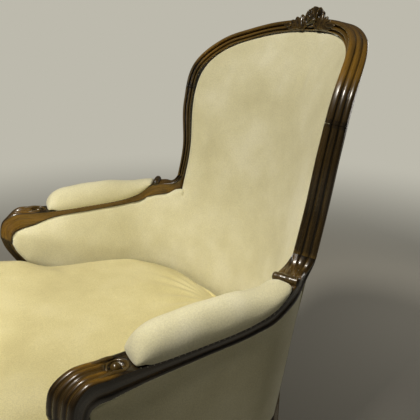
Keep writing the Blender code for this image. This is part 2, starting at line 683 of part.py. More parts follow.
def side_rail(name, wood):
    line = side_rail_line(15)
    _, outward, normal = seat_frame()
    tangents = np.gradient(line, axis=0)
    rings = []
    for index, (place, tangent) in enumerate(zip(line, tangents)):
        away = unit((-tangent[1], tangent[0]))
        if index == 0:
            away = -normal[:2]
        if index == len(line) - 1:
            away = np.array((1.0, 0.0))
        rings.append([(*(place + out * away), height)
                      for out, height in rail_section(RAIL_TOP - RAIL_HEIGHT, RAIL_TOP)])
    return ring_solid(name, rings, wood)


def front_wave(across):
    """Share of the front rail's bow and dip at a distance from the middle."""
    half = FRONT_LEG_ACROSS - FRONT_BLOCK / 2.0
    return math.cos(math.pi * across / (2.0 * half)) ** 2


def front_rail(wood):
    """Serpentine in plan, with its lower edge dipping at the middle and a rebate for the webbing behind."""
    half = FRONT_LEG_ACROSS - FRONT_BLOCK / 2.0 - GAP
    rings = []
    for across in np.linspace(-half, half, 21):
        wave = front_wave(across)
        middle = -FRONT_LEG_FORWARD - FRONT_BOW * wave
        low = RAIL_TOP - RAIL_HEIGHT - SHOULDER_STEP - APRON_DROP * wave
        shelf = [(-RAIL_THICKNESS / 2.0, RAIL_TOP - RAIL_HEIGHT), (0.0, RAIL_TOP - RAIL_HEIGHT), (0.0, low)]
        rings.append([(across, middle - out, height) for out, height in shelf + rail_section(low, RAIL_TOP)[1:]])
    return ring_solid("front_rail", rings, wood)


def rear_rail(wood):
    """The curved rail between the rear blocks, following the barrel of the back."""
    origin, outward, normal = seat_frame()
    low = RAIL_TOP - RAIL_HEIGHT
    rear, front = -FRAME_DEPTH, -FRAME_DEPTH + RAIL_THICKNESS
    section = ((rear, low), (front, low), (front, RAIL_TOP), (rear, RAIL_TOP))
    end = origin + (REAR_BLOCK_OUTSET - REAR_BLOCK - GAP) * outward
    last = [np.array((*(end + out * normal)[:2], height)) for out, height in section]
    rings = [last]
    reach = sight_across(rise_at(RAIL_TOP)) - (REAR_BLOCK - REAR_BLOCK_OUTSET) - RAIL_THICKNESS
    for across in np.linspace(reach, -reach, 15):
        place = back_place(across, rise_at(RAIL_TOP))
        turn = across / BACK_RADIUS
        facing = np.array((-math.sin(turn), -math.cos(turn)))
        rings.append([np.array((*(place[:2] + out * facing), height)) for out, height in section])
    rings.append(mirrored(last))
    return ring_solid("rear_rail", rings, wood)


def front_leg(name, wood):
    """Square block between the rails, then a cabriole curve down to a small scrolled foot."""
    diagonal = unit((1.0, -1.0))
    keys = []
    rail_bottom = RAIL_TOP - RAIL_HEIGHT
    for height, throw, size, squareness in CABRIOLE_SHARES:
        centre = np.array((FRONT_LEG_ACROSS, -FRONT_LEG_FORWARD)) + throw * KNEE_THROW * diagonal
        keys.append((*centre, height * rail_bottom, size * FRONT_BLOCK / 2.0, squareness))
    rows = [(FRONT_LEG_ACROSS, -FRONT_LEG_FORWARD, RAIL_TOP, FRONT_BLOCK / 2.0, 12.0)] + list(smooth_rows(keys, 20))
    rings = []
    for across, forward, height, half, squareness in rows:
        ring = []
        for turn in np.linspace(0.0, 2.0 * math.pi, 17)[:-1]:
            cosine, sine = math.cos(turn), math.sin(turn)
            reach = half / (abs(cosine) ** squareness + abs(sine) ** squareness) ** (1.0 / squareness)
            ring.append((across + reach * cosine, forward + reach * sine, height))
        rings.append(ring)
    return ring_solid(name, rings, wood)


def corner_block(front, name, wood):
    """A triangular glue block inside a seat corner, below the deck."""
    top = RAIL_TOP - DECK_THICKNESS - 2.0 * GAP
    if front:
        x = FRONT_LEG_ACROSS - FRONT_BLOCK / 2.0 - GAP
        y = -FRONT_LEG_FORWARD + FRONT_BLOCK / 2.0 + GAP
        across = np.array((-1.0, 0.0))
        along = np.array((0.0, 1.0))
        corner = np.array((x, y - (FRONT_BLOCK - RAIL_THICKNESS) / 2.0))
        corner = corner + GAP * along
        plan = [corner, corner + BLOCK_LEG * across, np.array((x, y)) + BLOCK_LEG * along, np.array((x, y))]
    else:
        origin, outward, normal = (axis[:2] for axis in seat_frame())
        base = origin + REAR_BLOCK_OUTSET * outward + GAP * normal
        plan = [base - REAR_BLOCK * outward, base - GAP * outward, base - GAP * outward + TACK_RAIL * normal,
                base - REAR_BLOCK * outward + TACK_RAIL * normal]
    rings = [[(*place, height) for place in plan] for height in (top - BLOCK_HEIGHT, top)]
    return ring_solid(name, rings, wood)


def seat_half_width(forward, margin):
    """Half width of the well inside the rails and the back, less a margin."""
    line = side_rail_line(60)[::-1]
    side = float(np.interp(forward, line[:, 1], line[:, 0])) - RAIL_THICKNESS / 2.0
    if forward < -FRONT_LEG_FORWARD + FRONT_BLOCK / 2.0 + margin:
        side = FRONT_LEG_ACROSS - FRONT_BLOCK / 2.0
    axis = back_place(0.0, rise_at(RAIL_TOP))[1] - BACK_RADIUS
    rear = math.sqrt(max(0.0, (BACK_RADIUS - margin) ** 2 - max(0.0, forward - axis) ** 2))
    return min(side - margin, rear)


def seat_deck(cloth):
    """The stuffed platform over the springs, flush with the rail tops."""
    front = -FRONT_LEG_FORWARD + RAIL_THICKNESS / 2.0 + GAP
    axis = back_place(0.0, rise_at(RAIL_TOP))[1] - BACK_RADIUS
    rear = axis + BACK_RADIUS
    rings = []
    for share in (0.0, 0.06, 0.2, 0.4, 0.55, 0.68, 0.78, 0.86, 0.92, 0.96, 0.985):
        forward = front + share * (rear - front)
        half = seat_half_width(forward, 4.0 * GAP)
        low, high = RAIL_TOP - DECK_THICKNESS, RAIL_TOP
        rings.append([(-half, forward, low), (half, forward, low), (half, forward, high), (-half, forward, high)])
    return ring_solid("seat_deck", rings, cloth)


def cushion_outline(count):
    """Plan of the loose cushion: round at the back, waisted between the arms, eared in front."""
    axis = back_place(0.0, rise_at(RAIL_TOP))[1] - BACK_RADIUS
    radius = BACK_RADIUS - 0.6 * BACK_BULGE - CUSHION_CLEARANCE
    keys = []
    for turn in np.radians((0.0, 16.0, 32.0, 46.0, 58.0)):
        keys.append((radius * math.sin(turn), axis + radius * math.cos(turn)))
    keys.append((CUSHION_WAIST_HALF, axis + 0.20 * radius))
    keys.append((CUSHION_WAIST_HALF, -CUSHION_EAR_START + 2.0 * CUSHION_CLEARANCE))
    keys.append((0.98 * CUSHION_EAR_HALF, -CUSHION_EAR_START - 3.0 * CUSHION_CLEARANCE))
    keys.append((CUSHION_EAR_HALF, -0.5 * (CUSHION_EAR_START + CUSHION_FRONT)))
    keys.append((0.985 * CUSHION_EAR_HALF, -0.925 * CUSHION_FRONT))
    keys.append((0.90 * CUSHION_EAR_HALF, -0.975 * CUSHION_FRONT))
    keys.append((0.45 * CUSHION_EAR_HALF, -0.992 * CUSHION_FRONT))
    keys.append((0.0, -CUSHION_FRONT))
    right = smooth_rows(keys, count)
    left = right[-2:0:-1] * np.array((-1.0, 1.0))
    return np.concatenate([right, left])


def seat_cushion(cover):
    """Loose cushion: drawn-in sides between its two edge seams and a full crown."""
    outline = cushion_outline(28)
    middle = (outline.min(axis=0) + outline.max(axis=0)) / 2.0
    base = RAIL_TOP + 2.0 * GAP
    rings = []
    for size, height in CUSHION_SHARES:
        ring = []
        for place in outline:
            x, y = middle + size * (place - middle)
            back = (y + CUSHION_FRONT) / (outline[0, 1] + CUSHION_FRONT)
            ring.append((x, y, base + height * CUSHION_THICKNESS * (1.0 - CUSHION_FALL_SHARE * back)))
        rings.append(ring)
    return ring_solid("seat_cushion", rings, cover)


def back_outline(depth, behind):
    """The four edges of the back panel on the barrel, in across and rise, as far behind its face as depth."""
    bottom_rise = rise_at(RAIL_TOP + 2.0 * GAP + depth * math.sin(BACK_RAKE))
    shoulder = int(np.argmin(np.abs(SIGHT_ROWS[:len(SIGHT_ROWS) // 2, 1] - 0.86 * SIGHT_RISE)))
    low = float(np.interp(bottom_rise, SIGHT_ROWS[:len(SIGHT_ROWS) // 2, 1], np.arange(len(SIGHT_ROWS) // 2)))
    right = sight_between(low, shoulder, BACK_GRID[0])
    top = sight_between(len(SIGHT_ROWS) - 1 - shoulder, shoulder, BACK_GRID[1])
    centre = np.array((0.0, 0.3 * SIGHT_RISE))
    right = shrink(right, centre, COVER_MARGIN)
    top = shrink(top, centre, COVER_MARGIN)
    right[:, 1] = np.maximum(right[:, 1], bottom_rise)
    if behind:
        for place in right:
            place[0] += core_limits(place[1])[0]
    left = right * np.array((-1.0, 1.0))
    bottom = np.linspace(left[0], right[0], BACK_GRID[1])
    return bottom, top, left, right


def shrink(points, centre, inset):
    spokes = points - centre
    lengths = np.linalg.norm(spokes, axis=1, keepdims=True)
    return centre + spokes * (1.0 - inset / lengths)


def back_sheet(outs, behind=False):
    """A grid on the barrel, standing out from its face by the given grid of distances."""
    flat = patch(*back_outline(-float(outs[0, 0, 0]), behind))
    grid = np.empty((*flat.shape[:2], 3))
    for row in range(flat.shape[0]):
        for column in range(flat.shape[1]):
            across, rise = flat[row, column]
            grid[row, column] = back_place(across, rise) + outs[row, column] * back_normal(across)
    return grid


def inside_back(cover):
    rows, columns = BACK_GRID
    face = back_sheet(BACK_BULGE * swell(rows, columns))
    rear = back_sheet(np.full((rows, columns, 1), -STUFFING_DEPTH))
    return slab_solid("inside_back", face, rear, cover)


def outside_back(cover):
    rows, columns = BACK_GRID
    outer = -CREST_DEPTH + GAP
    rear = back_sheet(np.full((rows, columns, 1), outer), True)
    face = back_sheet(np.full((rows, columns, 1), outer + COVER_THICKNESS), True)
    return slab_solid("outside_back", face, rear, cover)


def panel_front(sign, count):
    """Front edge of an arm wall, close behind the arm support and the underside of the handhold."""
    stations = [row for row in support_rows(9)[::-1]]
    stations += [np.delete(arm_station(share), (5, 6)) for share in PANEL_HAND_SHARES]
    rows = []
    for row in stations:
        across, show = arm_axes(row[6], row[7])
        rows.append(row[:3] - (row[4] + 2.0 * COVER_INSET) * show + sign * (row[3] - COVER_INSET) * across)
    return smooth_rows(rows, count)


def panel_top(sign, high, front):
    """Top edge of an arm wall, close under the arm."""
    top = [panel_rear(high, sign), panel_turn(high, sign)]
    for share in PANEL_TOP_SHARES:
        row = arm_station(share)
        across, _ = arm_axes(row[8], row[9])
        depth = row[4] if sign > 0.0 else row[5]
        x, y, level = row[:3] + sign * (row[3] - COVER_INSET) * across
        top.append((x, y, min(high, level - depth - COVER_INSET / 2.0)))
    return top + [front[-1]]


def panel_bottom(sign, low, front):
    """Bottom edge of an arm wall, along the top of the side rail."""
    bottom = [panel_rear(low, sign), panel_turn(low, sign)]
    shift = sign * (RAIL_THICKNESS / 2.0 - COVER_INSET)
    for x, y in side_rail_line(7)[1:]:
        if y > front[0, 1] + 2.0 * TACK_RAIL:
            bottom.append((x + shift, y, low))
    return bottom + [front[0]]


def arm_panel(name, outer_side, cover):
    """Stuffed inner wall or plain outer wall of an arm, between arm, post, support and rail."""
    rows, columns = ARM_GRID
    sign = 1.0 if outer_side else -1.0
    low, high = RAIL_TOP + 2.0 * GAP, ARM_LEVEL - 0.8 * ARM_DEPTH
    front = panel_front(sign, rows)
    rear_edge = np.array([panel_rear(height, sign) for height in np.linspace(low, high, rows)])
    bottom = smooth_rows(panel_bottom(sign, low, front), columns)
    top = smooth_rows(panel_top(sign, high, front), columns)
    face = patch(bottom, top, rear_edge, front)
    normals = grid_normals(face)
    normals = normals * sign * np.sign(normals[:, :, 0].mean())
    if outer_side:
        rear = face - COVER_THICKNESS * normals
    else:
        rear = face - STUFFING_DEPTH * normals
        face = face + ARM_BULGE * swell(rows, columns) * normals
    for sheet in (face, rear):
        sheet[:, :, 2] = np.maximum(sheet[:, :, 2], low)
    return slab_solid(name, face, rear, cover)


def panel_rear(height, sign):
    """Rear edge of an arm wall: round the post's outer corner, or in line with the back's cover."""
    origin, outward, normal = stile_frame(rise_at(height))
    if sign < 0.0:
        return origin + COVER_MARGIN * outward
    _, outer, _, rear = core_limits(rise_at(height))
    return origin + (outer + COVER_THICKNESS + 2.0 * GAP) * outward + rear * normal


def panel_turn(height, sign):
    """Next place of an arm wall, where it leaves the post."""
    origin, outward, normal = stile_frame(rise_at(height))
    if sign < 0.0:
        return origin + STILE_FACE * outward
    _, outer, front, _ = core_limits(rise_at(height))
    return origin + (outer + 1.1 * FRAME_DEPTH) * outward + (front - 0.3 * FRAME_DEPTH) * normal


def seat_spring(index, steel):
    """One hourglass coil spring, an unbroken wire from the webbing to the deck."""
    low = RAIL_TOP - RAIL_HEIGHT + GAP
    high = RAIL_TOP - DECK_THICKNESS - GAP
    middle = (SPRING_ROWS - 1) / 2.0
    column, row = index % SPRING_ROWS - middle, index // SPRING_ROWS - middle
    centre = (column * SPRING_PITCH, (row - SPRING_FORWARD_SHARE) * SPRING_PITCH)
    places = []
    for share in np.linspace(0.0, 1.0, SPRING_TURNS * SPRING_STEPS + 1):
        radius = SPRING_RADIUS * (1.0 - SPRING_WAIST_SHARE * math.sin(math.pi * share))
        turn = 2.0 * math.pi * SPRING_TURNS * share
        height = low + SPRING_WIRE + (high - low - 2.0 * SPRING_WIRE) * share
        places.append((centre[0] + radius * math.cos(turn), centre[1] + radius * math.sin(turn), height))
    return ring_solid("seat_spring_" + str(index + 1), tube_rings(places, [SPRING_WIRE] * len(places), 4), steel)


def box_solid(name, low, high, material):
    corners = ((low[0], low[1]), (high[0], low[1]), (high[0], high[1]), (low[0], high[1]))
    return ring_solid(name, [[(x, y, z) for x, y in corners] for z in (low[2], high[2])], material)


def seat_webbing(jute):
    """Bands tacked under the rails and laced over and under each other."""
    axis = back_place(0.0, rise_at(RAIL_TOP))[1] - BACK_RADIUS
    top = RAIL_TOP - RAIL_HEIGHT - GAP
    low = top - 1.5 * WEB_THICKNESS
    half = WEB_WIDTH / 2.0
    bands = []
    for index in range(WEB_BANDS):
        middle = (index - (WEB_BANDS - 1) / 2.0 - SPRING_FORWARD_SHARE) * WEB_PITCH
        reach = min(seat_half_width(middle - half, GAP), seat_half_width(middle + half, GAP)) + WEB_TURN_IN
        bands.append(box_solid("band", (-reach, middle - half, top - WEB_THICKNESS), (reach, middle + half, top), jute))
    for index in range(WEB_BANDS):
        middle = (index - (WEB_BANDS - 1) / 2.0) * WEB_PITCH
        rear = axis + math.sqrt(BACK_RADIUS ** 2 - (abs(middle) + half) ** 2) + WEB_TURN_IN
        front = -FRONT_LEG_FORWARD - FRONT_BOW * front_wave(abs(middle) + half) + COVER_INSET
        bands.append(box_solid("band", (middle - half, front, low), (middle + half, rear, low + WEB_THICKNESS), jute))
    webbing = bands[0]
    webbing.name = "seat_webbing"
    for crossing in bands[WEB_BANDS:] + bands[1:WEB_BANDS]:
        combine(webbing, crossing, "UNION")
    return webbing


def back_bottom_rail(wood):
    """Hidden rail between the posts that carries the lower edge of the back's covers."""
    low = rise_at(RAIL_TOP) + TACK_RAIL
    high = low + 2.0 * TACK_RAIL
    front, rear = -STUFFING_DEPTH - COVER_MARGIN, -CREST_DEPTH + COVER_THICKNESS + COVER_MARGIN + GAP
    reach = sight_across(low) + core_limits(low)[0] - 4.0 * GAP
    rings = []
    for across in np.linspace(-reach, reach, 13):
        rings.append([back_place(across, rise) + out * back_normal(across)
                      for out, rise in ((front, low), (rear, low), (rear, high), (front, high))])
    return ring_solid("back_bottom_rail", rings, wood)


def arm_tack_rail(name, wood):
    """Hidden rail on the seat rail that the arm's covers are tacked to."""
    line = side_rail_line(31)
    front = support_rows(9)[-1]
    stop = front[1] + front[4] + 2.0 * GAP
    inner = STUFFING_DEPTH + 2.0 * COVER_INSET + 2.0 * GAP - RAIL_THICKNESS / 2.0
    outer = RAIL_THICKNESS / 2.0 - COVER_INSET - COVER_THICKNESS - 2.0 * COVER_MARGIN
    chosen = [place for place in line if stop < place[1] < line[0, 1] - 1.5 * FRAME_DEPTH]
    low = RAIL_TOP + GAP
    rings = []
    for x, y in chosen[::2]:
        rings.append([(x + out, y, height) for out, height in
                      ((inner, low), (outer, low), (outer, low + TACK_RAIL), (inner, low + TACK_RAIL))])
    return ring_solid(name, rings, wood)


def centre_in_plan(things):
    """Moves the whole chair so that its box is centred on the origin from front to back."""
    bpy.context.view_layer.update()
    reach = [(thing.matrix_world @ corner.co).y for thing in things for corner in thing.data.vertices]
    shift = -(min(reach) + max(reach)) / 2.0
    for thing in things:
        thing.location.y += shift
    return shift


def build():
    clear_scene()
    walnut = finish("walnut", (0.085, 0.042, 0.018), 0.32)
    muslin = finish("muslin", (0.70, 0.65, 0.49), 0.92)
    cotton = finish("cushion_cotton", (0.70, 0.61, 0.37), 0.9)
    hessian = finish("hessian", (0.42, 0.31, 0.18), 0.95)
    jute = finish("jute_webbing", (0.50, 0.38, 0.22), 0.95)
    beech = finish("beech", (0.50, 0.33, 0.18), 0.6)
    spring_steel = finish("spring_steel", (0.35, 0.34, 0.33), 0.35, 1.0)
    things = [crest_rail(walnut), front_rail(walnut), rear_rail(walnut), back_bottom_rail(beech),
              inside_back(muslin), outside_back(muslin), seat_deck(hessian), seat_webbing(jute)]
    for index in range(SPRING_ROWS * SPRING_ROWS):
        things.append(seat_spring(index, spring_steel))
    sides = [rear_post("rear_post", walnut), front_leg("front_leg", walnut), side_rail("side_rail", walnut),
             arm_rail("arm_rail", walnut), arm_support("arm_support", walnut), arm_pad("arm_pad", muslin),
             arm_panel("inside_arm", False, muslin), arm_panel("outside_arm", True, muslin),
             arm_tack_rail("arm_tack_rail", beech), corner_block(True, "front_corner_block", beech),
             corner_block(False, "rear_corner_block", beech)]
    for thing in sides:
        things.append(mirror_copy(thing, thing.name + "_right"))
        thing.name = thing.name + "_left"
        things.append(thing)
    things.append(seat_cushion(cotton))
    shift = centre_in_plan(things)
    print("plan shift", round(shift, 5))


build()
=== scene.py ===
# %% [markdown]
# # An upholstered armchair with a carved walnut frame
# The chair is a French easy chair of the eighteenth-century pattern. A dark moulded frame runs round a barrel
# back, turns forward as two padded arms and rolls over into two handholds. It is covered in undyed muslin and
# has a loose cushion in a yellower cotton.
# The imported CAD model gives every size. This script keeps its frame, then dresses it piece by piece.

import math

import bmesh
import bpy
import numpy as np
from mathutils import Matrix, Vector


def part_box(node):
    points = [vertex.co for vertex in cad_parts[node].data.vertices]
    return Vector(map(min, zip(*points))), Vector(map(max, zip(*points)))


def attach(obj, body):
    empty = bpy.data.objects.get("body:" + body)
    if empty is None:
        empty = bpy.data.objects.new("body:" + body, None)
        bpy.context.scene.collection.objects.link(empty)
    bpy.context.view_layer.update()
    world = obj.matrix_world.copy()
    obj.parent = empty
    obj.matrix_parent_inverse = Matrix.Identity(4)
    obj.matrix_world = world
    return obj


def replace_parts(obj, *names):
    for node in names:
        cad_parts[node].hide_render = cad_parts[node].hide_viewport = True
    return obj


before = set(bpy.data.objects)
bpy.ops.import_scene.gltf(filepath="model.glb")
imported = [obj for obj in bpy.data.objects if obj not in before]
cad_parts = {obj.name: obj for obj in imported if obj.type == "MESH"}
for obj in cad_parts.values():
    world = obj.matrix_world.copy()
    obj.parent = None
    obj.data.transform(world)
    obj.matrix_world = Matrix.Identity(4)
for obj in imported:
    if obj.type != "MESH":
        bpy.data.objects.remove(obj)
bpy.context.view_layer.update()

# %% [markdown]
# ## Sizes that the looks share with the frame
# The back is a barrel: part of a cylinder that leans backwards. Every moulding and cover follows it, so the
# script repeats the few sizes that draw the barrel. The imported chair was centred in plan, and the cushion's
# front edge tells by how much.

# %% The barrel of the back
ARM_LEVEL = 0.622
BACK_RADIUS = 0.3276
BACK_SETBACK = 0.300
BACK_RAKE = math.radians(12.5)
SIGHT_HALF = 0.279
SIGHT_RISE = 0.385
CUSHION_FRONT = 0.332
PLAN_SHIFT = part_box("seat_cushion")[0].y + CUSHION_FRONT
SIGHT_SHARES = ((0.925, -0.72), (0.935, -0.36), (0.950, 0.0), (0.943, 0.286), (1.0, 0.571), (0.971, 0.774),
                (0.781, 0.899), (0.577, 0.950), (0.398, 0.980), (0.211, 0.995), (0.0, 1.0))


def unit(vector):
    return np.array(vector, dtype=float) / np.linalg.norm(vector)


def smooth_rows(rows, count):
    """Rows read evenly off a smooth curve through the given rows; the first columns are its places."""
    rows = np.array(rows, dtype=float)
    steps = np.linalg.norm(np.diff(rows[:, :3], axis=0), axis=1)
    along = np.concatenate(([0.0], np.cumsum(steps)))
    slopes = np.gradient(rows, along, axis=0)
    where = np.linspace(0.0, along[-1], count)
    left = np.clip(np.searchsorted(along, where, side="right") - 1, 0, len(steps) - 1)
    span = steps[left][:, None]
    share = (where - along[left])[:, None] / span
    start = 2.0 * share ** 3 - 3.0 * share ** 2 + 1.0
    leave = (share ** 3 - 2.0 * share ** 2 + share) * span
    arrive = (share ** 3 - share ** 2) * span
    return start * rows[left] + (1.0 - start) * rows[left + 1] + leave * slopes[left] + arrive * slopes[left + 1]


def back_place(across, rise):
    turn = across / BACK_RADIUS
    return np.array((BACK_RADIUS * math.sin(turn),
                     PLAN_SHIFT + BACK_SETBACK + rise * math.sin(BACK_RAKE) - BACK_RADIUS * (1.0 - math.cos(turn)),
                     ARM_LEVEL + rise * math.cos(BACK_RAKE)))


def back_normal(across):
    """The barrel's normal, towards the sitter."""
    turn = across / BACK_RADIUS
    return np.array((-math.sin(turn) * math.cos(BACK_RAKE), -math.cos(turn) * math.cos(BACK_RAKE),
                     math.cos(turn) * math.sin(BACK_RAKE)))


right_half = [(across * SIGHT_HALF, rise * SIGHT_RISE) for across, rise in SIGHT_SHARES]
sight_rows = smooth_rows(right_half + [(-across, rise) for across, rise in reversed(right_half[:-1])], 401)
half_rows = sight_rows[:201]


def sight_across(rise):
    """Half width of the cover at a rise below the shoulders."""
    return float(np.interp(rise, half_rows[:, 1], half_rows[:, 0]))


print("plan shift", round(PLAN_SHIFT, 5))

# %% [markdown]
# ## The camera
# The photograph looks down from beside the near arm. A pinhole camera was fitted to the chair's outlines: its
# place, its three angles and its focal length in pixels of a 420 pixel wide picture. Blender wants a matrix and
# a lens length on a 36 mm sensor, so the last lines translate.

# %% Camera
CAMERA_PLACE = np.array((0.8598, PLAN_SHIFT - 0.2562, 1.0170))
CAMERA_YAW = 1.11561
CAMERA_PITCH = 0.35702
CAMERA_ROLL = 0.0035
FOCAL_PIXELS = 509.36
PICTURE_PIXELS = 420.0
SENSOR_MM = 36.0

scene = bpy.context.scene
ahead = np.array((-math.sin(CAMERA_YAW) * math.cos(CAMERA_PITCH), math.cos(CAMERA_YAW) * math.cos(CAMERA_PITCH),
                  -math.sin(CAMERA_PITCH)))
level_right = unit(np.cross(ahead, (0.0, 0.0, 1.0)))
level_up = np.cross(level_right, ahead)
right = math.cos(CAMERA_ROLL) * level_right + math.sin(CAMERA_ROLL) * level_up
upward = math.cos(CAMERA_ROLL) * level_up - math.sin(CAMERA_ROLL) * level_right
camera_data = bpy.data.cameras.new("photo_camera")
camera_data.sensor_width = SENSOR_MM
camera_data.lens = FOCAL_PIXELS / PICTURE_PIXELS * SENSOR_MM
camera_data.clip_start = 0.01
camera = bpy.data.objects.new("photo_camera", camera_data)
scene.collection.objects.link(camera)
camera.matrix_world = Matrix([[*row, place] for row, place in zip(np.column_stack([right, upward, -ahead]),
                                                                  CAMERA_PLACE)] + [[0.0, 0.0, 0.0, 1.0]])
scene.camera = camera
scene.view_settings.view_transform = "Standard"
print("lens", round(camera_data.lens, 2), "mm")

# %% [markdown]
# ## Adding nodes and colours
# A material is a small graph. One helper adds a node, sets its values and makes its links, so that a recipe
# reads from top to bottom. Colours are written as the hex values one sees and are turned to the linear values
# that a renderer mixes.

# %% Node and colour helpers


def tint(code, alpha=1.0):
    """An sRGB hex colour as linear RGBA."""
    shares = [int(code[place:place + 2], 16) / 255.0 for place in (1, 3, 5)]
    return tuple(((share + 0.055) / 1.055) ** 2.4 if share > 0.04045 else share / 12.92 for share in shares) + (alpha,)


def add(tree, kind, links=None, **settings):
    """Adds a node; a setting whose name starts with an underscore is an input's value by its place."""
    node = tree.nodes.new(kind)
    for name, value in settings.items():
        if name.startswith("_"):
            node.inputs[int(name[1:])].default_value = value
        else:
            setattr(node, name, value)
    for socket, source in (links or {}).items():
        tree.links.new(source, node.inputs[socket])
    return node


def new_material(name, roughness, ior=1.5, metallic=0.0):
    """A material with its tree and its Principled shader."""
    material = bpy.data.materials.new(name)
    material.use_nodes = True
    shader = material.node_tree.nodes["Principled BSDF"]
    shader.inputs["Roughness"].default_value = roughness
    shader.inputs["Metallic"].default_value = metallic
    if not metallic:
        shader.inputs["IOR"].default_value = ior
    return material, material.node_tree, shader


def ramp(tree, source, *stops):
    """A colour ramp; each stop is a place and a hex colour."""
    node = add(tree, "ShaderNodeValToRGB", {0: source})
    while len(node.color_ramp.elements) < len(stops):
        node.color_ramp.elements.new(0.5)
    for element, (place, code) in zip(node.color_ramp.elements, stops):
        element.position = place
        element.color = tint(code)
    return node.outputs[0]


print("white is", tint("#FFFFFF"))

# %% [markdown]
# ## Room and light
# A pale floor and backdrop carry the shadow, and the floor fades into the backdrop's colour far from the chair,
# so there is no horizon. The main lamp is high in front of the chair: the inside back is bright and the outside
# of the near arm falls into shade. A low narrow lamp in front lights the opposite arm's cover, a smaller one the
# near pad, and a weak one stands behind the chair. The world fills in evenly.

# %% Floor, backdrop and lamps
FLOOR_SIZE = 24.0
FADE_START = 1.1
FADE_END = 3.2
FILL_STRENGTH = 0.05
BACKDROP = "#BDBAAD"
LAMPS = (("front_lamp", (0.29, -0.95, 2.45), (0.0, 0.0, 0.6), 0.4, 180.0, 34.5, "#FFF8EC"),
         ("inner_lamp", (0.36, -0.70, 0.95), (-0.30, -0.16, 0.52), 0.3, 60.0, 0.5, "#FFF8EC"),
         ("pad_lamp", (0.60, -0.50, 1.65), (0.25, -0.05, 0.76), 0.15, 27.0, 0.15, "#FFF8EC"),
         ("rear_lamp", (-0.3, 1.5, 0.9), (0.0, 0.0, 0.6), 0.8, 180.0, 4.0, "#FFFAF2"))

paper, tree, shader = new_material("painted_plaster_floor", 0.9)
shader.inputs["Base Color"].default_value = tint("#B6B3A8")
place = add(tree, "ShaderNodeTexCoord").outputs["Object"]
away = add(tree, "ShaderNodeVectorMath", {0: place}, operation="LENGTH").outputs["Value"]
far_share = add(tree, "ShaderNodeMapRange", {0: away}, interpolation_type="SMOOTHSTEP",
                _1=FADE_START, _2=FADE_END)
seen = add(tree, "ShaderNodeLightPath")
turned = add(tree, "ShaderNodeMath", {0: far_share.outputs[0], 1: seen.outputs["Is Camera Ray"]},
             operation="MULTIPLY")
haze = add(tree, "ShaderNodeEmission", _0=tint(BACKDROP), _1=1.0)
blend = add(tree, "ShaderNodeMixShader", {0: turned.outputs[0], 1: shader.outputs[0], 2: haze.outputs[0]})
tree.links.new(blend.outputs[0], tree.nodes["Material Output"].inputs[0])
form = bmesh.new()
bmesh.ops.create_grid(form, x_segments=1, y_segments=1, size=FLOOR_SIZE / 2.0)
mesh = bpy.data.meshes.new("floor")
form.to_mesh(mesh)
form.free()
mesh.materials.append(paper)
floor = bpy.data.objects.new("floor", mesh)
scene.collection.objects.link(floor)

for name, place, aim, size, spread, power, code in LAMPS:
    lamp = bpy.data.lights.new(name, "AREA")
    lamp.shape = "DISK"
    lamp.size = size
    lamp.spread = math.radians(spread)
    lamp.energy = power
    lamp.color = tint(code)[:3]
    stand = bpy.data.objects.new(name, lamp)
    stand.location = place
    stand.visible_camera = False
    stand.rotation_euler = (Vector(aim) - Vector(place)).to_track_quat("-Z", "Y").to_euler()
    scene.collection.objects.link(stand)

world = bpy.data.worlds.new("studio")
scene.world = world
world.use_nodes = True
tree = world.node_tree
seen = add(tree, "ShaderNodeLightPath")
backdrop = add(tree, "ShaderNodeBackground", _0=tint(BACKDROP), _1=1.0)
filling = tree.nodes["Background"]
filling.inputs[0].default_value = tint("#F3F1EC")
filling.inputs[1].default_value = FILL_STRENGTH
pick = add(tree, "ShaderNodeMixShader", {0: seen.outputs["Is Camera Ray"], 1: filling.outputs[0],
                                         2: backdrop.outputs[0]})
tree.links.new(pick.outputs[0], tree.nodes["World Output"].inputs[0])
print("lamps", [lamp[0] for lamp in LAMPS])

# %% [markdown]
# ## Waxed walnut
# The frame is walnut, stained dark, carved, then polished with wax for two centuries. Handling has left the high
# edges golden brown, and old wax darkens the hollows. The colour also paints light and shade: ridges get a
# painted golden highlight and hollows painted shade, the handholds' tops a painted highlight over their rubbing,
# the crest's corners and the arms' inner sides painted light, and the dish of each curl painted shade. Wood
# figure runs along each piece, so every new piece carries an attribute, `grain`, that says how far a point is
# across, deep and along it.
# The pores are about 0.3 mm wide and 10 mm long; the broader figure is about 6 mm wide.

# %% Walnut
PORE_MM = 0.3
FIGURE_MM = 6.0


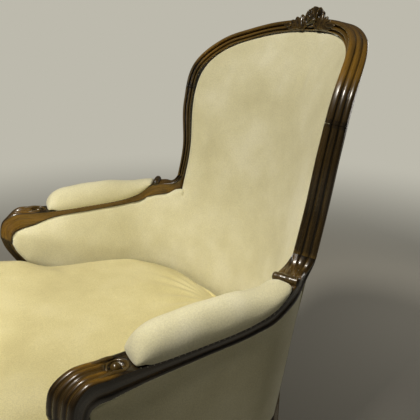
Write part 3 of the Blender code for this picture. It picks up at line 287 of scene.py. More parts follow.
def waxed_walnut(name, coordinates, stretch):
    """Walnut whose figure is drawn out along one axis of the given coordinates."""
    material, tree, shader = new_material(name, 0.30, 1.52)
    if coordinates == "grain":
        source = add(tree, "ShaderNodeAttribute", attribute_name="grain").outputs["Vector"]
    else:
        source = add(tree, "ShaderNodeTexCoord").outputs["Object"]
    drawn = add(tree, "ShaderNodeMapping", {0: source}, _3=stretch)
    figure = add(tree, "ShaderNodeTexNoise", {0: drawn.outputs[0]}, _2=1000.0 / FIGURE_MM, _3=5.0, _4=0.6, _8=0.6)
    pores = add(tree, "ShaderNodeTexNoise", {0: drawn.outputs[0]}, _2=400.0 / PORE_MM, _3=2.0, _4=0.5)
    stain = ramp(tree, figure.outputs[0], (0.28, "#120D06"), (0.5, "#261C0C"), (0.72, "#423214"))
    # Vertex attribute: rubbing plus painted highlight on handholds, painted light on crest corners and arm sides.
    handled = add(tree, "ShaderNodeAttribute", attribute_name="handled").outputs["Fac"]
    wear_and_light_share = add(tree, "ShaderNodeMapRange", {0: figure.outputs[0]}, _1=0.36, _2=0.60, _3=0.45, _4=0.95)
    faded = add(tree, "ShaderNodeMath", {0: handled, 1: wear_and_light_share.outputs[0]}, operation="MULTIPLY")
    gold_wear_and_light = add(tree, "ShaderNodeMix", {0: faded.outputs[0], 6: stain}, data_type="RGBA", _7=tint("#8C671C"))
    # Painted shade: where the attribute is negative, the dish inside each curl turns nearly black.
    painted_dish_shade = add(tree, "ShaderNodeMapRange", {0: handled}, _1=-0.1, _2=-0.9, _3=0.0, _4=0.9)
    dish_shaded = add(tree, "ShaderNodeMix", {0: painted_dish_shade.outputs[0], 6: gold_wear_and_light.outputs[2]}, data_type="RGBA", _7=tint("#080502"))
    edge = add(tree, "ShaderNodeNewGeometry")
    # Edges gone golden from rubbing, plus a painted highlight: convex places by pointiness, except at joint ends.
    convex = add(tree, "ShaderNodeMapRange", {0: edge.outputs["Pointiness"]}, _1=0.50, _2=0.57, _3=0.0, _4=0.6)
    joint_end = add(tree, "ShaderNodeAttribute", attribute_name="joint_end").outputs["Fac"]
    bare = add(tree, "ShaderNodeMath", {1: joint_end}, operation="SUBTRACT", _0=1.0)
    edge_wear_and_highlight = add(tree, "ShaderNodeMath", {0: convex.outputs[0], 1: bare.outputs[0]}, operation="MULTIPLY")
    # Old wax with painted shade: concave places, by pointiness, turn nearly black.
    hollow = add(tree, "ShaderNodeMapRange", {0: edge.outputs["Pointiness"]}, _1=0.50, _2=0.45, _3=0.0, _4=0.8)
    golden = add(tree, "ShaderNodeMix", {0: edge_wear_and_highlight.outputs[0], 6: dish_shaded.outputs[2]}, data_type="RGBA", _7=tint("#7A6028"))
    dark = add(tree, "ShaderNodeMix", {0: hollow.outputs[0], 6: golden.outputs[2]}, data_type="RGBA",
               _7=tint("#0D0904"))
    tree.links.new(dark.outputs[2], shader.inputs["Base Color"])
    dull = add(tree, "ShaderNodeMapRange", {0: pores.outputs[0]}, _1=0.35, _2=0.75, _3=0.24, _4=0.42)
    tree.links.new(dull.outputs[0], shader.inputs["Roughness"])
    relief = add(tree, "ShaderNodeBump", {"Height": pores.outputs[0]}, _0=0.12, _1=0.0006)
    tree.links.new(relief.outputs[0], shader.inputs["Normal"])
    shader.inputs["Coat Weight"].default_value = 0.35
    shader.inputs["Coat Roughness"].default_value = 0.14
    return material


walnut = waxed_walnut("waxed_walnut", "grain", (1.0, 1.0, 0.06))
walnut_upright = waxed_walnut("waxed_walnut_upright", "object", (1.0, 1.0, 0.06))
walnut_across = waxed_walnut("waxed_walnut_across", "object", (0.06, 1.0, 1.0))
print("walnut materials", 4)

# %% [markdown]
# ## Muslin, cotton, hessian and jute
# Undyed muslin is a plain weave with a soft nap. Its threads are about 0.6 mm apart, finer than a pixel of the
# photograph, so the weave is drawn at 1.6 mm, where it just shows as a grain. Two wave patterns at right angles
# make warp and weft. Larger, fainter noise gives the blotches of cloth that has been sat on. Sheen lifts the
# edges, where one looks across the nap.

# %% Woven cloth
MUSLIN_MM = 1.6
COTTON_MM = 1.3
HESSIAN_MM = 3.0


def woven(name, thread_mm, hues, rough, nap, sheen, relief_height, thread_share=0.8):
    """Plain-woven cloth: hues are its dark, middle and light hex colours."""
    material, tree, shader = new_material(name, rough, 1.45)
    place = add(tree, "ShaderNodeTexCoord").outputs["Object"]
    wander = add(tree, "ShaderNodeTexNoise", {0: place}, _2=1000.0 / (4.0 * thread_mm), _3=2.0)
    bent = add(tree, "ShaderNodeMix", {4: place, 5: wander.outputs["Color"]}, data_type="VECTOR", _0=0.0016)
    turns = 1000.0 / thread_mm / 6.3
    threads = []
    for axis in ("X", "Y", "Z"):
        threads.append(add(tree, "ShaderNodeTexWave", {0: bent.outputs[1]}, bands_direction=axis, _1=turns, _2=0.0,
                           _3=0.0).outputs["Fac"])
    pair = add(tree, "ShaderNodeMath", operation="MULTIPLY", links={0: threads[0], 1: threads[1]})
    crossed = add(tree, "ShaderNodeMath", operation="MULTIPLY", links={0: pair.outputs[0], 1: threads[2]})
    weave = add(tree, "ShaderNodeMath", operation="MULTIPLY", links={0: crossed.outputs[0]}, _1=thread_share)
    fuzz = add(tree, "ShaderNodeTexNoise", {0: place}, _2=1000.0 / (1.8 * thread_mm), _3=4.0, _4=0.7)
    blotch = add(tree, "ShaderNodeTexNoise", {0: place}, _2=9.0, _3=3.0, _4=0.55)
    mottle = add(tree, "ShaderNodeMath", operation="MULTIPLY_ADD", links={0: fuzz.outputs[0], 2: blotch.outputs[0]},
                 _1=0.35)
    colour = ramp(tree, mottle.outputs[0], (0.45, hues[0]), (0.66, hues[1]), (0.86, hues[2]))
    height = add(tree, "ShaderNodeMath", operation="MULTIPLY_ADD", links={0: fuzz.outputs[0], 2: weave.outputs[0]},
                 _1=nap)
    specks = add(tree, "ShaderNodeTexNoise", {0: place}, _2=520.0, _3=2.0, _4=0.5)
    dim = add(tree, "ShaderNodeMapRange", {0: specks.outputs[0]}, _1=0.36, _2=0.62, _3=0.90, _4=1.03)
    speckled = add(tree, "ShaderNodeVectorMath", {0: colour, "Scale": dim.outputs[0]}, operation="SCALE")
    tree.links.new(speckled.outputs[0], shader.inputs["Base Color"])
    relief = add(tree, "ShaderNodeBump", {"Height": height.outputs[0]}, _0=0.35, _1=relief_height)
    tree.links.new(relief.outputs[0], shader.inputs["Normal"])
    shader.inputs["Sheen Weight"].default_value = sheen
    shader.inputs["Sheen Roughness"].default_value = 0.6
    shader.inputs["Specular IOR Level"].default_value = 0.2
    return material


muslin = woven("undyed_muslin", MUSLIN_MM, ("#CFC9A2", "#DAD5B0", "#E4E0C1"), 0.95, 2.2, 0.25, 0.0007, 0.25)
cotton = woven("cushion_cotton", COTTON_MM, ("#CDC28C", "#D8CE98", "#E0D7A6"), 0.92, 1.2, 0.15, 0.0005, 0.3)
hessian = woven("hessian", HESSIAN_MM, ("#7A6238", "#94794A", "#AB8F5C"), 0.97, 1.0, 0.1, 0.0012)
jute = woven("jute_webbing", HESSIAN_MM, ("#8F774A", "#AA905E", "#C0A873"), 0.97, 0.8, 0.1, 0.0010)
linen, _, linen_shader = new_material("linen_thread", 0.8, 1.45)
linen_shader.inputs["Base Color"].default_value = tint("#E9E4CE")
print("cloths", muslin.name, cotton.name, hessian.name, jute.name, linen.name)

# %% [markdown]
# ## Hidden beech and spring steel
# The tack rails, corner blocks and the lower rail of the back are unpolished beech: pale, close grained, with
# small dark flecks. The springs are steel wire with a dull grey skin.

# %% Beech and steel
beech, tree, shader = new_material("beech", 0.6, 1.5)
place = add(tree, "ShaderNodeTexCoord").outputs["Object"]
drawn = add(tree, "ShaderNodeMapping", {0: place}, _3=(1.0, 0.12, 1.0))
fleck = add(tree, "ShaderNodeTexNoise", {0: drawn.outputs[0]}, _2=420.0, _3=4.0)
tree.links.new(ramp(tree, fleck.outputs[0], (0.35, "#9C7448"), (0.55, "#C39A68"), (0.8, "#D4AE7E")),
               shader.inputs["Base Color"])
steel, tree, shader = new_material("spring_steel", 0.38, metallic=1.0)
place = add(tree, "ShaderNodeTexCoord").outputs["Object"]
scale_skin = add(tree, "ShaderNodeTexNoise", {0: place}, _2=260.0, _3=3.0)
tree.links.new(ramp(tree, scale_skin.outputs[0], (0.3, "#5F5C58"), (0.7, "#9B9893")), shader.inputs["Base Color"])
print("hidden materials", beech.name, steel.name)

# %% [markdown]
# ## Lofting a carved member
# A moulded member is one section swept along a line while it changes slowly. The bmesh way is to lay out a
# closed loop of edges at each station and let `bridge_loops` skin neighbouring loops. The two ends are filled
# and poked, so that each is a fan round a middle point. A vertex attribute keeps the grain's coordinates.

# %% Loft helper


def add_piece(name, form, material, body="chair", angle=40.0):
    """Makes a bmesh an object that rides on a body of the chair."""
    mesh = bpy.data.meshes.new(name)
    form.to_mesh(mesh)
    form.free()
    mesh.materials.append(material)
    mesh.shade_smooth()
    mesh.set_sharp_from_angle(angle=math.radians(angle))
    piece = bpy.data.objects.new(name, mesh)
    scene.collection.objects.link(piece)
    if body:
        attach(piece, body)
    return piece


def loft_into(form, rings, grains=None, handled=None):
    """Skins a row of equal loops in the form, closes both ends and stores rubbing and painted light per point."""
    mark = form.verts.layers.float_vector.get("grain") or form.verts.layers.float_vector.new("grain")
    end = form.verts.layers.float.get("joint_end") or form.verts.layers.float.new("joint_end")
    wear_and_light_share = form.verts.layers.float.get("handled") or form.verts.layers.float.new("handled")
    centres = np.array([np.mean(ring, axis=0) for ring in rings])
    along = np.concatenate(([0.0], np.cumsum(np.linalg.norm(np.diff(centres, axis=0), axis=1))))
    loops = []
    faces = []
    for index, ring in enumerate(rings):
        corners = [form.verts.new(place) for place in ring]
        for number, corner in enumerate(corners):
            local = grains[index][number] if grains is not None else (corner.co.x, corner.co.y)
            corner[mark] = (local[0], local[1], along[index])
            corner[end] = 1.0 if index in (0, 1, len(rings) - 2, len(rings) - 1) else 0.0
            corner[wear_and_light_share] = handled[index][number] if handled is not None else 0.0
        loops.append([form.edges.new((corners[number - 1], corners[number])) for number in range(len(corners))])
    for lower, upper in zip(loops, loops[1:]):
        faces += bmesh.ops.bridge_loops(form, edges=lower + upper)["faces"]
    for loop, index in ((loops[0], 0), (loops[-1], -1)):
        cap = bmesh.ops.contextual_create(form, geom=loop)["faces"]
        fan = bmesh.ops.poke(form, faces=cap)
        for corner in fan["verts"]:
            corner[mark] = (0.0, 0.0, along[index])
        faces += fan["faces"]
    bmesh.ops.recalc_face_normals(form, faces=faces)
    return faces


def loft(name, rings, grains, *nodes, handled=None):
    form = bmesh.new()
    loft_into(form, rings, grains, handled)
    piece = add_piece(name, form, walnut)
    if nodes:
        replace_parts(piece, *nodes)
    return piece


def refine(points, count):
    """Evenly spaced places on a smooth curve through the points of a section."""
    points = np.array(points, dtype=float)
    return smooth_rows(np.column_stack([points, np.zeros(len(points))]), count)[:, :2]


print("loft helper ready")

# %% [markdown]
# ## The moulding of crest and stiles
# Seen in section, the show face has a bead beside the cover, a broad reed, a deep quirk and a wide bead that
# turns the corner. Two more grooves run along the outer side. The face widens from 16 mm at the arms to 23.5 mm.
# The section is drawn as shares of those sizes, so one drawing serves every station.

# %% Section of the moulding
STILE_FACE = 0.016
CREST_FACE = 0.0235
FRAME_DEPTH = 0.035
CREST_DEPTH = 0.027
FACE_RELIEF = 0.0032
SIDE_RELIEF = 0.0024
FACE_POINTS = 44
SIDE_POINTS = 34
INNER_POINTS = 6
CREST_JOINT_RISE = 0.255
ARM_JOINT_RISE = 0.039
GAP = 0.0003
FACE_SHARES = ((0.0, 0.0), (0.03, 0.7), (0.08, 1.0), (0.13, 0.6), (0.16, -0.2), (0.20, -0.5), (0.24, -0.1),
               (0.29, 0.6), (0.36, 0.95), (0.43, 0.8), (0.49, 0.2), (0.53, -0.7), (0.57, -1.0), (0.61, -0.6),
               (0.66, 0.4), (0.74, 1.0), (0.83, 1.0), (0.90, 0.5), (0.96, -0.4), (1.0, -1.3))
SIDE_SHARES = ((0.0, 0.17), (-0.15, 0.23), (-1.0, 0.30), (-0.3, 0.38), (0.0, 0.48), (-0.15, 0.58), (-1.0, 0.67),
               (-0.3, 0.75), (0.0, 0.85), (-0.4, 0.95), (-1.0, 1.0))


def frame_section(rise):
    """Show face from the sight edge outwards, then the outer side back to the rear, in metres."""
    share = min(1.0, max(0.0, (rise - ARM_JOINT_RISE) / (SIGHT_RISE - ARM_JOINT_RISE)))
    face = STILE_FACE + (CREST_FACE - STILE_FACE) * share
    depth = FRAME_DEPTH + (CREST_DEPTH - FRAME_DEPTH) * share
    front = refine([(place * face, relief * FACE_RELIEF) for place, relief in FACE_SHARES], FACE_POINTS)
    side = refine([(face + relief * SIDE_RELIEF, -place * depth) for relief, place in SIDE_SHARES], SIDE_POINTS)
    inner = refine([(0.0, -depth), (0.0, -0.05 * depth)], INNER_POINTS)
    return np.concatenate([front, side, inner])


def stile_frame(rise):
    """Origin on the sight edge, outward direction and face normal of the right stile at a rise."""
    across = sight_across(rise)
    above = back_place(sight_across(rise + FACE_RELIEF), rise + FACE_RELIEF)
    below = back_place(sight_across(rise - FACE_RELIEF), rise - FACE_RELIEF)
    normal = back_normal(across)
    return back_place(across, rise), unit(np.cross(above - below, normal)), normal


def placed(origin, outward, normal, section):
    return np.array([origin + u * outward + v * normal for u, v in section])


def mirrored(rings):
    return [np.array(ring) * np.array((-1.0, 1.0, 1.0)) for ring in rings]


print("section points", len(frame_section(0.2)))

# %% [markdown]
# ## Crest rail
# The crest is the arched top of the frame, cut from a wide board and joined to the stiles just below the
# shoulders. The section is carried along the sight line, the edge where cover meets wood.

# %% Crest rail
# Painted light: the crest's corners turn golden where light from above falls on them.
LIT_CORNER_RISE_SHARES = (0.30, 0.45)
CREST_LIT_AT = (0.0, 0.12, 0.19, 0.25)
CREST_PAINTED_LIGHT = (0.25, 0.35, 0.65, 0.85)
joint = float(np.interp(CREST_JOINT_RISE + GAP, half_rows[:, 1], np.arange(201)))
steps = np.linspace(joint, 400 - joint, 150)
line = np.stack([np.interp(steps, np.arange(401), sight_rows[:, column]) for column in (0, 1)], axis=1)
places = np.array([back_place(across, rise) for across, rise in line])
tangents = np.gradient(places, axis=0)
rings = []
sections = []
for (across, rise), place, tangent in zip(line, places, tangents):
    normal = back_normal(across)
    sections.append(frame_section(rise))
    rings.append(placed(place, unit(np.cross(tangent, normal)), normal, sections[-1]))
origin, outward, normal = stile_frame(CREST_JOINT_RISE + GAP)
rings[0] = placed(origin, outward, normal, sections[0])
rings[-1] = mirrored([rings[0]])[0]
corner_rise = (SIGHT_RISE - CREST_JOINT_RISE) * np.array(LIT_CORNER_RISE_SHARES) + CREST_JOINT_RISE
wear_and_light_share = [[float(np.interp(abs(across), CREST_LIT_AT, CREST_PAINTED_LIGHT) * np.interp(rise, corner_rise, (0.0, 1.0)))]
          * len(sections[0]) for across, rise in line]
crest = loft("crest_moulding", rings, sections, "crest_rail", handled=wear_and_light_share)
print("crest faces", len(crest.data.polygons))

# %% [markdown]
# ## Rear posts
# Each post is one piece of wood: the moulded stile, a plain part hidden behind the arm, and the splayed leg.
# The sections all have the same number of points, so one loft carries the moulding into the plain post.

# %% Rear posts
RAIL_TOP = 0.360
RAIL_HEIGHT = 0.078
POST_OUTSET = 0.0065
POST_FRONT = 0.0142
POST_REAR = 0.024
BLOCK_LIFT = 0.012
SHOULDER_STEP = 0.0002
REAR_BLOCK = 0.036
REAR_BLOCK_OUTSET = 0.0095
REAR_FOOT_OUT = 0.018
REAR_FOOT_BACK = 0.078
REAR_LEG_SHARES = ((1.0, 0.0, 1.0), (0.80, 0.02, 0.96), (0.55, 0.18, 0.86), (0.28, 0.52, 0.78), (0.0, 1.0, 0.74))


def rise_at(height):
    return (height - ARM_LEVEL) / math.cos(BACK_RAKE)


def core_limits(rise):
    """Inner, outer, front and rear faces of the hidden post, growing towards its seat block."""
    share = min(1.0, max(0.0, (ARM_JOINT_RISE - rise) / (ARM_JOINT_RISE - rise_at(RAIL_TOP))))
    inner = -share * (REAR_BLOCK - REAR_BLOCK_OUTSET)
    outer = POST_OUTSET + share * (REAR_BLOCK_OUTSET - POST_OUTSET)
    rear = -POST_REAR - share * (POST_REAR - POST_FRONT)
    return inner, outer, -POST_FRONT, rear


def core_section(inner, outer, front, rear):
    """A plain four-sided post with as many points as the moulding."""
    face = [(place, front) for place in np.linspace(inner, outer, FACE_POINTS)]
    side = [(outer, front + (rear - front) * (index + 1) / SIDE_POINTS) for index in range(SIDE_POINTS)]
    back = [(inner, place) for place in np.linspace(rear, 0.9 * front + 0.1 * rear, INNER_POINTS)]
    return np.array(face + side + back)


seat_rise = rise_at(RAIL_TOP)


def seat_frame():
    """The place where the sight edge comes down to the seat, and the directions outward and to the front."""
    across = sight_across(seat_rise)
    turn = across / BACK_RADIUS
    outward = np.array((math.cos(turn), -math.sin(turn), 0.0))
    return back_place(across, seat_rise), outward, np.array((-math.sin(turn), -math.cos(turn), 0.0))


rings = []
sections = []
for rise in np.linspace(CREST_JOINT_RISE - GAP, ARM_JOINT_RISE, 60):
    sections.append(frame_section(rise))
    rings.append(placed(*stile_frame(rise), sections[-1]))
for rise in np.linspace(ARM_JOINT_RISE - SHOULDER_STEP, seat_rise + BLOCK_LIFT, 12):
    sections.append(core_section(*core_limits(rise)))
    rings.append(placed(*stile_frame(rise), sections[-1]))
origin, outward, normal = seat_frame()
for front, height in ((-POST_FRONT, RAIL_TOP + GAP), (0.0, RAIL_TOP), (0.0, RAIL_TOP - RAIL_HEIGHT)):
    sections.append(core_section(REAR_BLOCK_OUTSET - REAR_BLOCK, REAR_BLOCK_OUTSET, front, -REAR_BLOCK))
    rings.append(placed(origin + np.array((0.0, 0.0, height - RAIL_TOP)), outward, normal, sections[-1]))
middle = origin + (REAR_BLOCK_OUTSET - REAR_BLOCK / 2.0) * outward - REAR_BLOCK / 2.0 * normal
keys = [(height * (RAIL_TOP - RAIL_HEIGHT - GAP), splay * REAR_FOOT_OUT, splay * REAR_FOOT_BACK,
         size * REAR_BLOCK / 2.0) for height, splay, size in REAR_LEG_SHARES]
for height, out, back, half in smooth_rows(keys, 40):
    sections.append(core_section(-half, half, half, -half))
    rings.append(placed(np.array((middle[0] + out, middle[1] + back, height)), outward, normal, sections[-1]))
loft("post_left", rings, sections, "rear_post_left")
loft("post_right", mirrored(rings), sections, "rear_post_right")
print("post rings", len(rings))

# %% [markdown]
# ## Arms
# The arm starts as the lower end of the stile's moulding, turns forward under a small roll, runs level as a
# plain bar that carries the pad, and ends in a reeded handhold. Its stations hold the place, sizes, likeness to
# the stile, depth of reeding and the tilt of the show face.

# %% Stations of the arm
ARM_SPREAD = 0.084
ARM_REACH = 0.4025
ARM_DROP = 0.112
ARM_HALF = 0.0225
ARM_DEPTH = 0.025
REED_DEPTH = 0.0026
ARM_SHARES = (
    (0.000, 0.000, 0.000, 0.75, 0.90, 1.00, 1.00, 1.0, 90.0, 0.0),
    (0.100, 0.018, 0.110, 0.80, 0.90, 1.00, 0.52, 0.8, 58.0, 20.0),
    (0.270, 0.055, 0.165, 0.88, 1.08, 1.00, 0.04, 0.6, 14.0, 34.0),
    (0.450, 0.105, 0.200, 0.93, 1.12, 1.00, 0.00, 0.3, 2.0, 30.0),
    (0.565, 0.160, 0.290, 0.98, 1.00, 0.92, 0.00, 0.0, 0.0, 18.0),
    (0.620, 0.211, 0.398, 1.00, 0.90, 0.78, 0.00, 0.0, 0.0, 9.0),
    (0.653, 0.291, 0.474, 1.00, 0.83, 0.64, 0.00, 0.0, 0.0, 6.0),
    (0.737, 0.514, 0.534, 1.00, 0.86, 0.57, 0.00, 0.0, 0.0, 5.0),
    (0.816, 0.750, 0.556, 1.00, 1.12, 0.62, 0.00, 0.2, 0.0, 4.0),
    (0.879, 0.845, 0.530, 1.03, 1.36, 0.95, 0.00, 1.0, 6.0, 9.0),
    (0.926, 0.926, 0.535, 1.08, 1.56, 1.00, 0.00, 1.0, 24.0, 18.0),
    (0.979, 0.980, 0.680, 1.15, 1.46, 1.00, 0.00, 1.0, 44.0, 26.0),
    (0.995, 0.995, 0.850, 1.17, 1.26, 1.00, 0.00, 1.0, 54.0, 27.0),
    (1.000, 1.000, 1.000, 1.17, 1.10, 1.00, 0.00, 1.0, 63.0, 27.0),
)
REED_SHARES = ((0.0, -1.0), (0.045, -0.15), (0.12, 0.15), (0.19, -0.1), (0.235, -0.9), (0.27, -0.15), (0.34, 0.15),
               (0.41, -0.1), (0.45, -1.0), (0.50, -1.25))


def arm_axes(lean, turn):
    """Outward direction across the arm, and the direction square to its show face."""
    across = np.array((math.cos(math.radians(turn)), math.sin(math.radians(turn)), 0.0))
    forward = np.array((math.sin(math.radians(turn)), -math.cos(math.radians(turn)), 0.0))
    show = math.cos(math.radians(lean)) * np.array((0.0, 0.0, 1.0)) + math.sin(math.radians(lean)) * forward
    return across, show


def reeded_section(half, depth, inner_depth, reed):
    """A bar whose show face has two pairs of reeds and a wider channel between the pairs."""
    left_pair = [(place, height) for place, height in REED_SHARES]
    right_pair = [(1.0 - place, height) for place, height in reversed(REED_SHARES[:-1])]
    face = refine([(half * (2.0 * place - 1.0), reed * height) for place, height in left_pair + right_pair], 49)
    inner = refine([(-half, -inner_depth), (-half, -0.45 * inner_depth), (-half, -reed - 0.001)], 8)
    outer = refine([(half, -reed - 0.001), (half, -0.30 * depth), (half - 0.0012, -0.52 * depth),
                    (half - 0.0016, -0.66 * depth), (half, -0.74 * depth), (half + 0.0004, -0.86 * depth),
                    (half - 0.0006, -depth)], 18)
    under = refine([(half * 0.9, -depth - 0.0004), (0.0, -(depth + inner_depth) / 2.0),
                    (-half * 0.9, -inner_depth - 0.0004)], 8)
    section = np.concatenate([inner, face, outer, under])
    return np.column_stack([section, np.zeros(len(section))])


def stile_part_section():
    """The stile's own moulding in the arm's axes, with as many points as the reeded section."""
    origin, outward, normal = stile_frame(ARM_JOINT_RISE)
    across, show = arm_axes(90.0, 0.0)
    whole = frame_section(ARM_JOINT_RISE)
    front = refine(whole[:FACE_POINTS], 30)
    side = refine(whole[FACE_POINTS:FACE_POINTS + SIDE_POINTS], 19)
    inner = refine([(0.0, -FRAME_DEPTH), (0.0, 0.0)], 8)
    tail = refine([(0.98 * STILE_FACE, -0.985 * FRAME_DEPTH), (0.75 * STILE_FACE, -FRAME_DEPTH)], 18)
    under = refine([(0.7 * STILE_FACE, -FRAME_DEPTH), (0.05 * STILE_FACE, -FRAME_DEPTH)], 8)
    places = placed(np.zeros(3), outward, normal, np.concatenate([inner, front, side, tail, under]))
    places = places - STILE_FACE * outward
    return np.stack([places @ across, places @ show, places[:, 2]], axis=1)


origin, outward, _ = stile_frame(ARM_JOINT_RISE - SHOULDER_STEP - GAP)
arm_start = origin + STILE_FACE * outward
arm_rows = []
for across, forward, drop, half, depth, inner, likeness, reed, lean, turn in ARM_SHARES:
    station = arm_start + np.array((across * ARM_SPREAD, -forward * ARM_REACH, -drop * ARM_DROP))
    arm_rows.append((*station, half * ARM_HALF, depth * ARM_DEPTH, inner * depth * ARM_DEPTH, likeness,
                     reed * REED_DEPTH, lean, turn))
fine_rows = smooth_rows(arm_rows, 241)


def arm_station(share):
    """The arm's station at a share of its forward reach."""
    reach = (fine_rows[0, 1] - fine_rows[:, 1]) / ARM_REACH
    return fine_rows[int(np.argmax(reach >= share))]


print("arm from", np.round(arm_start, 3), "to", np.round(fine_rows[-1, :3], 3))

# %% [markdown]
# The arm itself is one loft. A roll lies across it behind the pad. At the rear of the handhold the outer reed
# turns round the end as a raised rim and winds inwards to an eye in a small dish. All of these are cut from the
# same wood, so they join one mesh.

# %% Arms with roll, curl and eye
ROLL_SHARE = 0.097
ROLL_RADIUS = 0.0078
ROLL_OVERHANG = 0.0015
# Along the handhold's top: gold for rubbing with a painted highlight, strongest on the reeds' crests.
PALM_REACH = (0.0, 0.10, 0.13, 0.80, 0.84, 0.90, 0.95, 1.0)
PALM_WEAR_AND_HIGHLIGHT = (0.5, 0.4, 0.0, 0.0, 1.0, 0.9, 0.3, 0.0)
CURL_SHARE = 0.800
CURL_RADIUS = 0.0160
CURL_BEAD = 0.0038
CURL_LEAD = 0.040
CURL_DISH = 0.0065
CURL_TURN = 300.0
CURL_POINTS = 80
EYE_RADIUS = 0.0072
DISH_STEEPNESS = 3.2
# Painted shade fills the curl's dish within this share of its radius; painted light lifts the arm's inner side.
DISH_SHADE_SHARE = 0.85
SIDE_PAINTED_LIGHT = 0.7
PALM_START = 8
PALM_END = 57
LEAD_SHARES = (1.0, 0.75, 0.5, 0.25)
SECOND_LEAD_SHARES = (1.0, 0.75, 0.5, 0.25, 0.0, -0.12)
SECOND_LEAD_SIZES = (0.55, 0.65, 0.75, 0.85, 0.85, 0.6)
BEAD_SIDES = 14


def tube_rings(places, radii, sides):
    """Round rings along a line, each with its own radius."""
    places = np.array(places)
    tangents = np.gradient(places, axis=0)
    rings = []
    for place, tangent, radius in zip(places, tangents, radii):
        tangent = unit(tangent)
        sideways = unit(np.cross(tangent, (0.0, 0.0, 1.0) if abs(tangent[2]) < 0.95 else (1.0, 0.0, 0.0)))
        above = np.cross(sideways, tangent)
        rings.append([place + radius * (math.cos(turn) * sideways + math.sin(turn) * above)
                      for turn in np.linspace(0.0, 2.0 * math.pi, sides + 1)[:-1]])
    return rings


curl_centre = arm_station(CURL_SHARE)[:3]
rings = []
sections = []
handled = []
for row in smooth_rows(arm_rows, 150):
    across, show = arm_axes(row[8], row[9])
    likeness = min(1.0, max(0.0, row[6]))
    section = likeness * stile_part_section() + (1.0 - likeness) * reeded_section(row[3], row[4], row[5],
                                                                                 max(0.0, row[7]))
    ring = np.array([row[:3] + a * across + b * show + c * np.array((0.0, 0.0, 1.0)) for a, b, c in section])
    away = np.linalg.norm(ring[:, :2] - curl_centre[:2], axis=1)
    shown = ring[:, 2] > curl_centre[2] - 2.0 * CURL_DISH
    ring[:, 2] -= CURL_DISH * shown * np.clip(DISH_STEEPNESS * (1.0 - away / CURL_RADIUS), 0.0, 1.0)
    rings.append(ring)
    sections.append(section[:, :2])
    # Painted light on the inner side, rubbing and painted highlight on the reed tops, painted shade in the dish.
    reach = (fine_rows[0, 1] - row[1]) / ARM_REACH
    palm = float(np.interp(reach, PALM_REACH, PALM_WEAR_AND_HIGHLIGHT))
    ridge = np.clip(1.1 + section[PALM_START:PALM_END, 1] / REED_DEPTH, 0.1, 1.0)
    wear_light_and_shade = np.array([SIDE_PAINTED_LIGHT] * PALM_START + list(palm * ridge) + [0.0] * (len(section) - PALM_END))
    wear_light_and_shade[(away < DISH_SHADE_SHARE * CURL_RADIUS) & shown] = -1.0
    handled.append(list(wear_light_and_shade))

station = arm_station(ROLL_SHARE)
across, _ = arm_axes(0.0, station[9])
shares = np.linspace(-1.0, 1.0, 25)
roll_places = [station[:3] + np.array((0.0, 0.0, 0.25 * ROLL_RADIUS)) + share * (station[3] + ROLL_OVERHANG) * across
               for share in shares]
roll_radii = [ROLL_RADIUS * (1.0 - 0.45 * abs(share) ** 14) * (1.0 - 0.05 * math.cos(9.0 * share))
              for share in shares]

across, _ = arm_axes(0.0, arm_station(CURL_SHARE)[9])
rearward = np.array((-across[1], across[0], 0.0))


def on_top(place, lift):
    """Puts a place at the level of the arm's top there, plus a lift."""
    level = np.interp(-place[1], -fine_rows[:, 1], fine_rows[:, 2])
    return np.array((place[0], place[1], level + lift))


def lead_line(edge, shares):
    """Places along the arm's top that run up to an edge of the curl; each share is a part of the lead's length."""
    return [on_top(edge - share * CURL_LEAD * rearward, -1.5 * CURL_BEAD * share ** 2) for share in shares]


def add_bead(form, places, radii, count):
    """Adds a round bead along a smoothed line, with one radius for each of the line's own places."""
    along = np.interp(np.linspace(0, len(places) - 1, count), np.arange(len(places)), radii)
    loft_into(form, tube_rings(smooth_rows(places, count), along, BEAD_SIDES))


curl_places = lead_line(curl_centre + CURL_RADIUS * across, LEAD_SHARES)
for index, turn in enumerate(np.linspace(0.0, math.radians(CURL_TURN), CURL_POINTS)):
    way = index / (CURL_POINTS - 1.0)
    radius = CURL_RADIUS + (1.5 * EYE_RADIUS - CURL_RADIUS) * way ** 2
    spot = curl_centre + radius * (math.cos(turn) * across + math.sin(turn) * rearward)
    curl_places.append(on_top(spot, -CURL_DISH * way ** 1.2 - 0.2 * CURL_BEAD))
curl_radii = CURL_BEAD * np.concatenate((np.linspace(0.55, 0.95, len(LEAD_SHARES)),
                                         np.linspace(1.0, 0.45, CURL_POINTS)))
second_lead = lead_line(curl_centre - CURL_RADIUS * across, SECOND_LEAD_SHARES)

form = bmesh.new()
loft_into(form, rings, sections, handled)
loft_into(form, tube_rings(roll_places, roll_radii, 24))
add_bead(form, curl_places, curl_radii, 120)
add_bead(form, second_lead, CURL_BEAD * np.array(SECOND_LEAD_SIZES), 24)
eye = bmesh.ops.create_uvsphere(form, u_segments=20, v_segments=12, radius=EYE_RADIUS)["verts"]
bmesh.ops.translate(form, verts=eye, vec=curl_centre + np.array((0.0, 0.0, -0.9 * CURL_DISH + 0.2 * EYE_RADIUS)))
other = form.copy()
bmesh.ops.scale(other, vec=(-1.0, 1.0, 1.0), verts=other.verts)
bmesh.ops.reverse_faces(other, faces=other.faces)
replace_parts(add_piece("arm_left", form, walnut), "arm_rail_left")
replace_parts(add_piece("arm_right", other, walnut), "arm_rail_right")
print("arm rings", len(rings))

# %% [markdown]
# ## Arm supports
# The support takes over the four reeds from the handhold, sweeps back in a scroll and lands on the seat rail.

